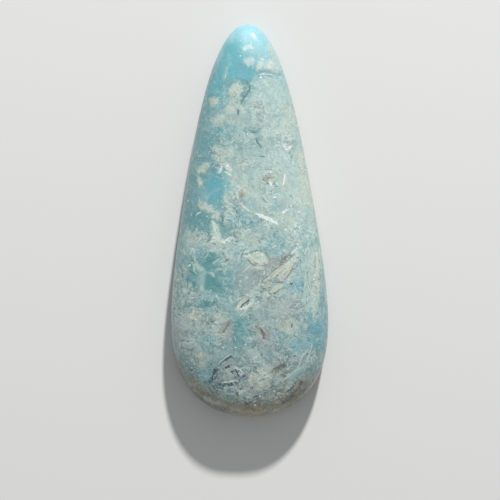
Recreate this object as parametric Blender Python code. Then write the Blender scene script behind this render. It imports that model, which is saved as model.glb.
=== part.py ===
"""A larimar cabochon: a long polished teardrop with a flat back and a low rounded crown.

Run it with: blender --background --python part.py

The frame is in metres. +Z points up out of the crown, +Y runs along the stone to its narrow tip
and +X goes across it. The origin is the middle of the stone's outline, on the flat back.
"""

import math

import bmesh
import bpy
from mathutils import Matrix, Vector, noise

MM = 0.001

# Driving sizes of the stone
LENGTH = 46.0 * MM
WIDTH = 18.4 * MM
THICKNESS = 6.7 * MM
GIRDLE_HEIGHT = 1.5 * MM
BACK_BEVEL = 0.9 * MM

# The outline is an ellipse, narrowed towards the tip, filled out again at both ends and then
# drawn to a finer point at the tip
TAPER = 0.459
FULLNESS = 0.372
POINTEDNESS = 0.113
AXIS_WANDER = 0.165 * MM

# The crown is flat-topped across, and its ridge falls as the stone narrows
CROWN_POWER = 2.9
RIDGE_POWER = 0.6
CROWN_HEIGHT = THICKNESS - GIRDLE_HEIGHT

# Hand grinding leaves the crown a little uneven
UNEVEN_DEPTH = 0.06 * MM
UNEVEN_PITCH = 5.0 * MM

# Facets: stations from tip to butt, and steps over the crown at each station
STATIONS = 72
STEPS_OVER_CROWN = 52
BEVEL_STEPS = 4

# Shallow pockets where soft fibres were plucked out in polishing:
# name, place across and along, length, width and depth in mm, and the turn of the length from +X in degrees
POCKETS = (
    ("split_by_white_blades", -0.70, -9.64, 1.45, 0.62, 0.16, 48),
    ("left_crevice", -2.85, -12.64, 1.60, 0.55, 0.15, 62),
    ("right_crevice", 1.50, -13.34, 1.50, 0.50, 0.13, -58),
    ("smudge_over_cream_blades", 4.25, -4.39, 1.50, 0.70, 0.12, 42),
    ("eye_upper_crack", -4.00, -17.74, 2.60, 0.48, 0.13, 51),
    ("eye_lower_crack", -3.10, -19.23, 2.20, 0.42, 0.10, 6),
    ("dark_speck_low_right", 5.76, -19.35, 1.10, 0.42, 0.12, 61),
    ("tip_healed_crack", 2.30, 17.18, 2.70, 0.42, 0.10, 3),
)
POCKET_SEGMENTS = 16
POCKET_RINGS = 8

# Colours as linear RGB
AQUA = (0.20, 0.46, 0.48)


def plumpness(share):
    """Half-width against a plain ellipse's, where share runs from -1 at the butt to 1 at the tip."""
    ellipse = math.sqrt(max(1 - share**2, 0.0))
    return ellipse * (1 - TAPER * share + FULLNESS * share**2 - POINTEDNESS * share**3)


# The fullest station, found on a fine walk along the stone
FULLEST_SHARE = max((step / 500 - 1 for step in range(1001)), key=plumpness)
MOST_PLUMP = plumpness(FULLEST_SHARE)


def half_width(y):
    """Half-width of the outline at a place along the stone."""
    return WIDTH / 2 * plumpness(2 * y / LENGTH) / MOST_PLUMP


def axis_offset(y):
    """How far the hand-cut axis strays across: to the left towards the tip, to the right at the butt."""
    return -AXIS_WANDER * (math.sin(math.pi * y / LENGTH) - math.sin(math.pi * FULLEST_SHARE / 2))


def ridge_height(width):
    """Height of the crown's ridge over the girdle where the stone is this half-width."""
    return CROWN_HEIGHT * (2 * width / WIDTH) ** RIDGE_POWER


def unevenness(x, y, share):
    """Slight waviness of the crown, which fades out at the girdle."""
    wave = noise.noise(Vector((x, y, 0.0)) / UNEVEN_PITCH)
    return UNEVEN_DEPTH * wave * share


def crown_point(direction):
    """Moves a point of the unit half-sphere, with its poles on Y, onto the crown."""
    y = direction.y * LENGTH / 2
    width = half_width(y)
    around = math.atan2(max(direction.z, 0.0), direction.x)
    across, up = abs(math.cos(around)), math.sin(around)
    reach = (across**CROWN_POWER + up**CROWN_POWER) ** (-1 / CROWN_POWER)
    x = math.copysign(reach * across * width, direction.x)
    share = reach * up
    height = ridge_height(width) * share + unevenness(x, y, share)
    return Vector((x + axis_offset(y), y, GIRDLE_HEIGHT + height))


def crown_height_at(x, y):
    """Height of the crown's surface over a place on the flat back."""
    width = half_width(y)
    across = abs(x - axis_offset(y)) / width
    share = (1 - across**CROWN_POWER) ** (1 / CROWN_POWER)
    return GIRDLE_HEIGHT + ridge_height(width) * share + unevenness(x, y, share)


def crown_slope_at(x, y):
    """Outward direction of the crown's surface over a place on the flat back."""
    step = 0.2 * MM
    rise_x = crown_height_at(x + step, y) - crown_height_at(x - step, y)
    rise_y = crown_height_at(x, y + step) - crown_height_at(x, y - step)
    return Vector((-rise_x, -rise_y, 2 * step)).normalized()


def make_crown(shape):
    """The domed top: the upper half of a UV sphere, open at the girdle, moved onto the crown."""
    bmesh.ops.create_uvsphere(
        shape, u_segments=2 * STEPS_OVER_CROWN, v_segments=STATIONS, radius=1.0
    )
    bmesh.ops.rotate(shape, verts=shape.verts, matrix=Matrix.Rotation(-math.pi / 2, 3, "X"))
    bmesh.ops.bisect_plane(
        shape,
        geom=shape.verts[:] + shape.edges[:] + shape.faces[:],
        dist=1e-5,
        plane_co=(0, 0, 0),
        plane_no=(0, 0, 1),
        clear_inner=True,
    )
    for vertex in shape.verts:
        vertex.co = crown_point(vertex.co)


def make_back(shape):
    """The wall below the girdle, the flat back and the rounded edge between them."""
    girdle = [edge for edge in shape.edges if edge.is_boundary]
    wall = bmesh.ops.extrude_edge_only(shape, edges=girdle)["geom"]
    for vertex in (item for item in wall if isinstance(item, bmesh.types.BMVert)):
        vertex.co.z = 0.0
    back_edge = [edge for edge in shape.edges if edge.is_boundary]
    bmesh.ops.contextual_create(shape, geom=back_edge)
    bmesh.ops.bevel(
        shape,
        geom=back_edge,
        offset=BACK_BEVEL,
        segments=BEVEL_STEPS,
        profile=0.5,
        affect="EDGES",
    )
    bmesh.ops.recalc_face_normals(shape, faces=shape.faces)


def make_stone(collection):
    """The whole stone as one closed solid, before its pockets are cut."""
    shape = bmesh.new()
    make_crown(shape)
    make_back(shape)
    mesh = bpy.data.meshes.new("larimar_cabochon")
    shape.to_mesh(mesh)
    shape.free()
    mesh.shade_smooth()
    mesh.set_sharp_from_angle(angle=math.radians(40))
    stone = bpy.data.objects.new("larimar_cabochon", mesh)
    collection.objects.link(stone)
    return stone


def make_pocket_cutter(collection, name, across, along, length, width, depth, turn):
    """A flattened ellipsoid whose lower cap is the pocket's floor."""
    # The ellipsoid is twice as deep as the pocket, so its rim is inset from its equator
    rim_share = math.sqrt(1 - 0.5**2)
    size = Vector((length / 2 / rim_share, width / 2 / rim_share, 2 * depth)) * MM
    shape = bmesh.new()
    bmesh.ops.create_uvsphere(
        shape, u_segments=POCKET_SEGMENTS, v_segments=POCKET_RINGS, radius=1.0
    )
    bmesh.ops.scale(shape, vec=size, verts=shape.verts)
    mesh = bpy.data.meshes.new(name)
    shape.to_mesh(mesh)
    shape.free()

    x, y = across * MM, along * MM
    outward = crown_slope_at(x, y)
    tilt = Vector((0, 0, 1)).rotation_difference(outward)
    cutter = bpy.data.objects.new(name, mesh)
    cutter.location = Vector((x, y, crown_height_at(x, y))) + outward * depth * MM
    cutter.rotation_mode = "QUATERNION"
    cutter.rotation_quaternion = tilt @ Matrix.Rotation(math.radians(turn), 3, "Z").to_quaternion()
    cutter.hide_render = True
    cutter.display_type = "WIRE"
    collection.objects.link(cutter)


def cut_pockets(stone, cutters):
    """Cuts every pocket out of the crown."""
    cut = stone.modifiers.new("Pockets", "BOOLEAN")
    cut.operation = "DIFFERENCE"
    cut.operand_type = "COLLECTION"
    cut.collection = cutters
    cut.solver = "EXACT"


def make_material(name, colour, roughness):
    """Polished, slightly waxy stone."""
    material = bpy.data.materials.new(name)
    material.use_nodes = True
    shader = material.node_tree.nodes["Principled BSDF"]
    shader.inputs["Base Color"].default_value = (*colour, 1.0)
    shader.inputs["Roughness"].default_value = roughness
    shader.inputs["Metallic"].default_value = 0.0
    shader.inputs["IOR"].default_value = 1.61
    material.diffuse_color = (*colour, 1.0)
    return material


def new_collection(name):
    collection = bpy.data.collections.new(name)
    bpy.context.scene.collection.children.link(collection)
    return collection


def main():
    for leftover in list(bpy.data.objects):
        bpy.data.objects.remove(leftover)
    parts = new_collection("Larimar cabochon")
    cutters = new_collection("Pocket cutters")
    stone = make_stone(parts)
    for pocket in POCKETS:
        make_pocket_cutter(cutters, *pocket)
    cut_pockets(stone, cutters)
    stone.data.materials.append(make_material("larimar", AQUA, 0.25))


main()
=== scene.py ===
"""A larimar cabochon dressed for its portrait: a polished teardrop of blue-green stone, felted with pale
silky fibres, with cream crystal blades, white needles, dark seams and small glints in its crown.

Everything is in metres, in the frame of the solid: +Z up out of the crown, +Y to the narrow tip.
"""

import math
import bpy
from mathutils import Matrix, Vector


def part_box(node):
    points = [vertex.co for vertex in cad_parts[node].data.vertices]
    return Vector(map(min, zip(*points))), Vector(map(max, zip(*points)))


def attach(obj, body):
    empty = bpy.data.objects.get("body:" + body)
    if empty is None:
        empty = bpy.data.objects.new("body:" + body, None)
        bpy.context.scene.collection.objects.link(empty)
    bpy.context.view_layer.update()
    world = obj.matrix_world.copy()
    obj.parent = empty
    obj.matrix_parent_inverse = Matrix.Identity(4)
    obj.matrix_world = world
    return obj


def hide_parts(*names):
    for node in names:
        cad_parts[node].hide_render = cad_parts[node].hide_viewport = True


bl_info = {
    "name": "Larimar Cabochon",
    "version": (1, 0, 0),
    "blender": (4, 5, 0),
    "location": "3D View > Sidebar > Larimar",
    "description": "Grows a polished larimar cabochon with its fibres, blades, seams and glints",
    "category": "Object",
}

import bpy
import numpy as np
from mathutils import Vector, noise

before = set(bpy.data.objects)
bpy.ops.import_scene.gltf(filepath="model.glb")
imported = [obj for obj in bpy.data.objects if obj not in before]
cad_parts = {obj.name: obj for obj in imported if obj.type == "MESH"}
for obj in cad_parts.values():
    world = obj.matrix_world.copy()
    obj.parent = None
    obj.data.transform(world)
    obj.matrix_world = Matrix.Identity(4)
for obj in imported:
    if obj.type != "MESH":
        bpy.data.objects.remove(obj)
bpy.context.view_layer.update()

MM = 0.001
NODE = "larimar_cabochon"
LOW, HIGH = (Vector(corner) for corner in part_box(NODE))


# Markings, in millimetres from the middle of the stone's back

# Pools of clear colour: name, across, along, size across, size along, turn in degrees, strength, blueness
POOLS = (
    ("beside_the_tip", -2.1, 19.76, 1.4, 1.9, 0, 0.55, 0.2),
    ("under_the_tip", -0.9, 17.26, 3.0, 3.7, -10, 0.75, 0.4),
    ("below_the_healed_crack", 3.1, 16.96, 1.9, 0.7, 0, 0.6, 0.4),
    ("beside_the_ringed_lump", -0.4, 14.76, 0.6, 3.0, -15, 0.7, 0.5),
    ("upper_left", -3.2, 16.56, 2.1, 3.3, 0, 0.3, 0.2),
    ("above_the_lobes", -3.4, 10.26, 1.4, 1.4, 0, 0.5, 0.5),
    ("left_band", -5.4, 9.56, 3.3, 1.9, 10, 0.6, 0.35),
    ("two_spots", 0.3, 10.16, 2.1, 0.8, 0, 0.75, 0.4),
    ("strongest_blue", -4.1, 3.86, 2.7, 4.0, 0, 1.0, 1.0),
    ("under_the_white_band", -5.9, -0.04, 3.0, 2.8, 0, 0.75, 0.25),
    ("beside_the_white_lump", -3.1, -0.84, 0.7, 2.8, 0, 0.6, 0.3),
    ("right_of_the_middle", 3.1, 1.46, 1.9, 1.2, 0, 0.5, 0.8),
    ("below_the_white_blades", 2.7, -3.04, 2.3, 2.8, 0, 0.5, 0.7),
    ("small_middle", 0.8, -0.84, 1.2, 0.9, 0, 0.45, 0.6),
    ("beside_the_green_dot", 5.3, -7.54, 2.1, 1.4, 0, 0.6, 0.8),
    ("teal_one", -4.6, -4.84, 2.8, 1.2, 5, 0.85, 0.1),
    ("teal_two", -4.0, -7.24, 3.5, 1.9, 0, 1.0, 0.0),
    ("teal_three", -6.6, -7.04, 1.4, 1.9, 0, 0.8, 0.15),
    ("teal_four", -3.1, -5.94, 1.2, 1.2, 0, 0.6, 0.2),
    ("teal_five", -4.8, -9.44, 2.6, 0.8, 0, 0.7, 0.05),
    ("between_the_crevices", -1.2, -12.84, 2.1, 3.3, 0, 0.75, 0.7),
    ("blue_bay_on_the_right", 7.9, -12.54, 2.3, 5.1, 0, 0.85, 1.0),
    ("under_the_eye", -3.0, -20.24, 2.1, 1.2, -20, 0.5, 0.9),
    ("grey_blue_low_right", 6.3, -17.94, 3.0, 1.9, 30, 0.55, 0.8),
    ("left_flank", -7.4, 1.76, 2.1, 14.0, -6, 0.65, 0.3),
    ("left_flank_high", -5.8, 12.56, 1.8, 11.0, -12, 0.6, 0.4),
    ("by_the_lobes", -5.4, 7.86, 2.3, 2.1, 0, 0.45, 0.2),
    ("left_low", -6.9, -13.34, 2.1, 3.7, 0, 0.25, 0.9),
    ("mid_low", 2.1, -15.24, 2.8, 2.1, 0, 0.3, 0.9),
    ("right_low", 4.1, -13.24, 2.8, 2.3, 0, 0.3, 0.9),
    ("above_the_oval", 2.1, -2.04, 1.9, 1.4, 0, 0.35, 0.8),
    ("left_of_the_eye", -5.4, -17.54, 1.9, 2.1, 0, 0.3, 0.9),
)

# Milky, felted areas: name, across, along, size across, size along, turn in degrees, strength
MILKS = (
    ("upper_right", 2.4, 12.16, 7.0, 9.0, -10, 0.8),
    ("upper_middle", -0.8, 11.66, 4.0, 7.0, 0, 0.6),
    ("middle_right", 4.2, 3.16, 9.0, 14.0, 0, 1.0),
    ("middle", 0.0, 4.66, 6.0, 8.0, 0, 0.8),
    ("belt", 1.0, -3.34, 14.0, 6.0, 0, 0.6),
    ("around_the_blades", 3.0, -7.84, 9.0, 6.0, 0, 0.6),
    ("lower_left", -5.0, -12.34, 7.0, 7.0, 0, 0.6),
    ("lower_middle", 1.5, -12.84, 8.0, 6.0, 0, 0.5),
    ("lowest", 1.0, -17.84, 11.0, 6.0, 0, 0.5),
    ("left_edge", -7.6, -6.84, 1.6, 12.0, 0, 0.5),
)

# Cream clouds of packed crystals: name, across, along, size across, size along, turn in degrees, strength
CLOUDS = (
    ("tip_dot_left", -1.2, 19.56, 0.3, 0.3, 0, 0.8),
    ("tip_dot_middle", 0.6, 19.36, 0.3, 0.3, 0, 0.9),
    ("tip_dot_low", 1.0, 19.16, 0.3, 0.3, 0, 0.8),
    ("tip_dot_right", 1.9, 19.16, 0.3, 0.3, 0, 0.8),
    ("pale_band", -2.4, 1.36, 1.2, 4.2, -12, 0.7),
    ("low_right_pale", 3.6, -16.74, 2.6, 2.1, 40, 0.45),
    ("right_edge_upper", 4.8, 10.46, 1.6, 6.0, -12, 0.55),
    ("right_edge_middle", 6.3, 4.66, 1.4, 5.1, -8, 0.5),
    ("right_edge_fibres", 7.7, -7.54, 1.2, 9.8, -4, 0.75),
    ("right_edge_low", 8.5, -16.94, 0.7, 4.2, 12, 0.5),
    ("left_edge_low", -8.0, -9.24, 0.9, 7.0, 0, 0.4),
    ("pale_speckles_low", -4.0, -15.04, 3.3, 2.3, 30, 0.3),
    ("pale_middle_left", -1.1, -0.24, 1.6, 1.6, 0, 0.5),
    ("eye_white", -2.3, -17.64, 1.9, 1.9, 30, 0.5),
)

# Washes of one colour with a drawn outline: name, colour, strength, softness of the edge in mm, then the
# outline's points across and along
WASHES = (
    ("tip_pool", "lagoon", 0.95, 0.9, (
        (-2.6, 20.6), (-1.4, 20.9), (-0.9, 19.4), (-0.6, 18.3), (0.6, 17.4), (0.9, 16.6), (-0.4, 16.3),
        (-2.2, 16.6), (-3.3, 16.6), (-3.3, 18.4),
    )),
    ("beside_the_tip", "lagoon", 0.5, 0.4, ((-2.4, 20.4), (-1.7, 20.4), (-1.6, 19.4), (-2.2, 19.2))),
    ("under_the_upper_clump", "blue", 1.0, 0.4, (
        (-1.4, 18), (-0.7, 18.3), (-0.2, 17.6), (0.7, 17.2), (0.6, 16.8), (-0.6, 16.9), (-1.4, 17.3),
    )),
    ("edge_of_the_tip", "straw", 0.6, 0.4, (
        (2.1, 21), (2.5, 20.6), (3.2, 19.2), (3.6, 17.8), (2.9, 18.6), (2.3, 19.4), (2, 20.2),
    )),
    ("between_the_clumps", "milk", 0.5, 0.3, ((0.7, 18.9), (1.8, 19), (2, 18.3), (1, 18.3))),
    ("high_flank", "lagoon", 0.8, 0.7, (
        (-3.6, 17.6), (-2.9, 17.2), (-3.2, 15.2), (-3.4, 13.9), (-3.9, 14.4), (-4.9, 14.4), (-4.9, 15.4),
        (-4.3, 16.6),
    )),
    ("under_the_healed_crack", "milk", 0.4, 0.9, (
        (0.9, 16.8), (3.8, 16.6), (4.4, 14.2), (1.2, 14), (0.4, 15.4),
    )),
    ("strongest_blue", "lagoon", 0.55, 0.8, (
        (-4.6, 5.2), (-2.9, 5.2), (-2.2, 4.2), (-2.9, 3.2), (-3.2, 2), (-4.4, 1.8), (-5, 3), (-5.2, 4.4),
    )),
    ("teal_one", "teal", 0.6, 0.6, ((-5, -4.3), (-3.8, -4.2), (-3.5, -5), (-4, -5.4), (-5.6, -5.3))),
    ("teal_two", "teal", 0.55, 0.8, (
        (-4.9, -6.6), (-3.2, -6.6), (-2.6, -7.4), (-3.3, -8), (-4.8, -8), (-5.2, -7.3),
    )),
    ("teal_three", "teal", 0.9, 0.4, ((-7, -5.8), (-6.2, -5.8), (-6, -7.4), (-6.6, -7.6), (-7, -6.8))),
    ("teal_five", "teal", 0.8, 0.35, ((-5.9, -9.3), (-4, -9.2), (-3.9, -9.8), (-5.4, -10))),
    ("between_the_crevices", "teal", 0.5, 0.5, (
        (-1.9, -11.2), (-0.8, -11.2), (-0.5, -13.6), (-1.6, -14.4), (-2.2, -13.6),
    )),
    ("mauve_middle", "dust", 0.6, 1.1, ((1.6, -9.2), (5.6, -8.6), (6.2, -10.4), (5.2, -12), (2.2, -11.6))),
    ("blue_bay", "blue", 0.3, 0.7, (
        (6.9, -12.4), (8.6, -11.6), (8.9, -13.4), (8.3, -15), (7.2, -14.9), (6.5, -13.8),
    )),
    ("cream_low", "beige", 0.85, 0.5, (
        (1.2, -17.2), (2.6, -16.9), (2.9, -18), (2.5, -19.2), (1.2, -19.2), (0.9, -18.4),
    )),
    ("tan_low", "beige", 0.7, 0.3, ((0, -17.9), (0.8, -18), (0.9, -18.8), (0.2, -19), (-0.2, -18.5))),
    ("tan_spot", "cream", 0.8, 0.3, ((0.6, -19.2), (1.6, -19.2), (1.5, -19.9), (0.7, -19.8))),
    ("brown_right", "umber", 0.4, 0.35, ((2.7, -17.1), (3.7, -16.9), (3.7, -17.6), (3, -17.8))),
    ("low_middle_pale", "beige", 0.75, 0.6, ((-2, -19.6), (0.4, -19.4), (0.4, -20.6), (-1.8, -20.6))),
    ("low_middle_grey", "dust", 0.7, 0.5, ((0.4, -20.2), (3.8, -20.2), (3.4, -21.2), (0.6, -21.2))),
    # rim_low, rim_low_left, rim_low_right and rim_left paint shade on the butt's edge and wall, which turn away
    # from the key light; rim_low's olive is partly the rind's own colour
    ("rim_low", "olive", 0.35, 0.5, (
        (-2, -21.5), (0.5, -21.3), (3.2, -21.3), (3.4, -23.8), (0.2, -24.2), (-2.4, -23.8),
    )),
    ("rim_low_left", "umber", 0.9, 0.5, (
        (-6.3, -19.6), (-5.2, -20.3), (-3.8, -21), (-2.4, -21.3), (-2.8, -23.6), (-5.2, -23.2), (-7.8, -21.2),
    )),
    ("rim_low_right", "umber", 0.7, 0.5, (
        (3.4, -20.8), (5.4, -20), (6.6, -18.8), (8.4, -20.2), (5, -23.2),
    )),
    ("left_grey", "milk", 0.6, 0.9, ((-8.6, -11), (-7.2, -10.6), (-6.8, -14.8), (-8.2, -15.6))),
    ("left_edge_middle", "milk", 0.5, 0.8, ((-7.6, -1), (-6.6, -1), (-6.8, -4), (-8, -4))),
    ("right_edge_high", "sand", 0.4, 0.5, ((3.6, 13.6), (4.6, 13.4), (5.4, 9.6), (4.4, 9.6))),
    ("right_edge_middle", "sand", 0.7, 0.5, ((5.6, 8), (6.2, 8), (7, 2), (6, 2))),
    ("beside_the_oval", "dust", 0.65, 0.35, (
        (2.2, -4.3), (3.3, -4.3), (3.2, -5.6), (2.2, -6.5), (0.4, -6.6), (-0.5, -5.8), (-0.6, -5),
        (0.4, -5.3), (1.6, -5.4),
    )),
    ("sand_left", "sand", 0.6, 0.35, (
        (-7.4, -11.5), (-6.6, -10.6), (-6, -10.1), (-5.4, -10.9), (-5.7, -11.8), (-6.6, -12),
    )),
    ("grey_left", "dust", 0.6, 0.4, (
        (-8.9, -12.9), (-8.1, -12.3), (-7.2, -12.4), (-7, -13.3), (-7.6, -14.1), (-8.5, -14.1),
    )),
    ("sand_right", "sand", 0.6, 0.4, (
        (3.4, -11.8), (4.5, -11.4), (5.4, -11.7), (5.4, -12.8), (4.1, -13.1), (3.4, -12.8),
    )),
    ("pale_swirl", "milk", 0.5, 0.4, (
        (-0.1, -15), (1.2, -14.6), (2.1, -15.4), (1.7, -16.5), (0.4, -16.7), (-0.1, -15.9),
    )),
    ("pale_stripe", "milk", 0.55, 0.25, (
        (3.8, -18.5), (4.9, -17.4), (6.2, -16.5), (7.5, -15.4), (7.9, -15.8), (6.8, -16.9), (5.6, -17.8),
        (4.3, -18.9),
    )),
    ("sand_low_left", "sand", 0.45, 0.4, (
        (-6.8, -15.8), (-5.7, -15.4), (-4.9, -16.1), (-5.3, -17.1), (-6.4, -16.9),
    )),
    ("blue_left_low", "lagoon", 0.35, 0.5, (
        (-5.7, -13.9), (-4.4, -13), (-3.6, -13.7), (-4.4, -14.8), (-5.5, -15),
    )),
    ("light_blue_right", "lagoon", 0.3, 0.5, (
        (4.5, -13.9), (6.2, -13.7), (6.9, -14.8), (5.6, -15.4), (4.5, -15),
    )),
    ("lilac_low_left", "heather", 0.6, 0.5, (
        (-8.3, -14.1), (-7.2, -14.3), (-6.4, -15.4), (-7, -16.2), (-8, -15.6),
    )),
    ("lilac_low_middle", "heather", 0.5, 0.5, (
        (1.2, -13.7), (2.8, -13.3), (3.4, -14.6), (2.3, -15.4), (1.4, -14.8),
    )),
    ("teal_low_middle", "teal", 0.35, 0.35, ((-2, -10.9), (-0.9, -10.7), (-0.5, -11.6), (-1.4, -12.2))),
    ("blue_low_left", "blue", 0.4, 0.5, (
        (-6.4, -17.3), (-4.9, -17.1), (-4.6, -18.2), (-5.5, -19.1), (-6.5, -18.2),
    )),
    ("pool_on_the_left", "teal", 0.35, 0.8, (
        (-7.3, -4), (-4.5, -3.8), (-2.8, -5.5), (-2.5, -7.7), (-4.3, -8.5), (-6.2, -8.1), (-6.9, -6.2),
    )),
    ("under_the_white_band", "teal", 0.25, 0.5, (
        (-7.6, 1.1), (-4.7, 0.7), (-4.5, -0.8), (-6.4, -1.4), (-7.7, -0.2),
    )),
    ("beside_the_white_clump", "teal", 0.5, 0.3, ((-3.2, -0.3), (-2.5, -0.6), (-1.9, -1.8), (-3, -1.9))),
    ("sand_left_of_the_clump", "sand", 0.45, 0.35, (
        (-7.3, -1.9), (-5.3, -1.6), (-4.7, -2.5), (-6.2, -3.1), (-7.3, -2.9),
    )),
    ("beside_the_green_dot", "blue", 0.5, 0.5, (
        (4.1, -7.5), (5.6, -7), (6.9, -7.5), (5.9, -8.7), (4.6, -8.5),
    )),
    ("right_edge_low_middle", "beige", 0.5, 0.4, (
        (6.9, -3.6), (7.8, -3.2), (8.4, -7.7), (7.2, -9.6), (6.7, -7),
    )),
    ("above_the_oval", "sand", 0.4, 0.4, ((-1.9, -1.2), (-0.2, -1), (1.1, -1.9), (0.7, -3.1), (-1, -2.9))),
    ("left_of_the_streaks", "aqua", 0.5, 0.4, (
        (-2.5, 0.5), (-0.2, 0.5), (0.7, -0.6), (-0.8, -1), (-2.5, -0.6),
    )),
    ("lilac_under_the_oval", "heather", 0.6, 0.4, (
        (-1.7, -5.3), (0.7, -5.5), (1.3, -7), (-0, -8.5), (-1.9, -7.7),
    )),
    ("lilac_beside_the_fan", "heather", 0.75, 0.3, (
        (1.5, -4.7), (3.3, -4), (4.1, -3.6), (3.9, -4.6), (2.6, -5.7), (1.5, -6.8), (0.7, -7),
    )),
    # Painted shade on the left of the butt and its wall
    ("rim_left", "umber", 0.9, 0.4, (
        (-8.6, -15.6), (-7.4, -17.9), (-6.2, -19.6), (-7.6, -20.6), (-9.6, -18.2), (-10.2, -15.4),
    )),
    ("beside_the_eye", "ash", 0.5, 0.5, (
        (-4.9, -19.2), (-3, -19.75), (-1.6, -19.6), (-2.2, -20.4), (-4.4, -20.4), (-5.4, -19.7),
    )),
)

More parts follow.
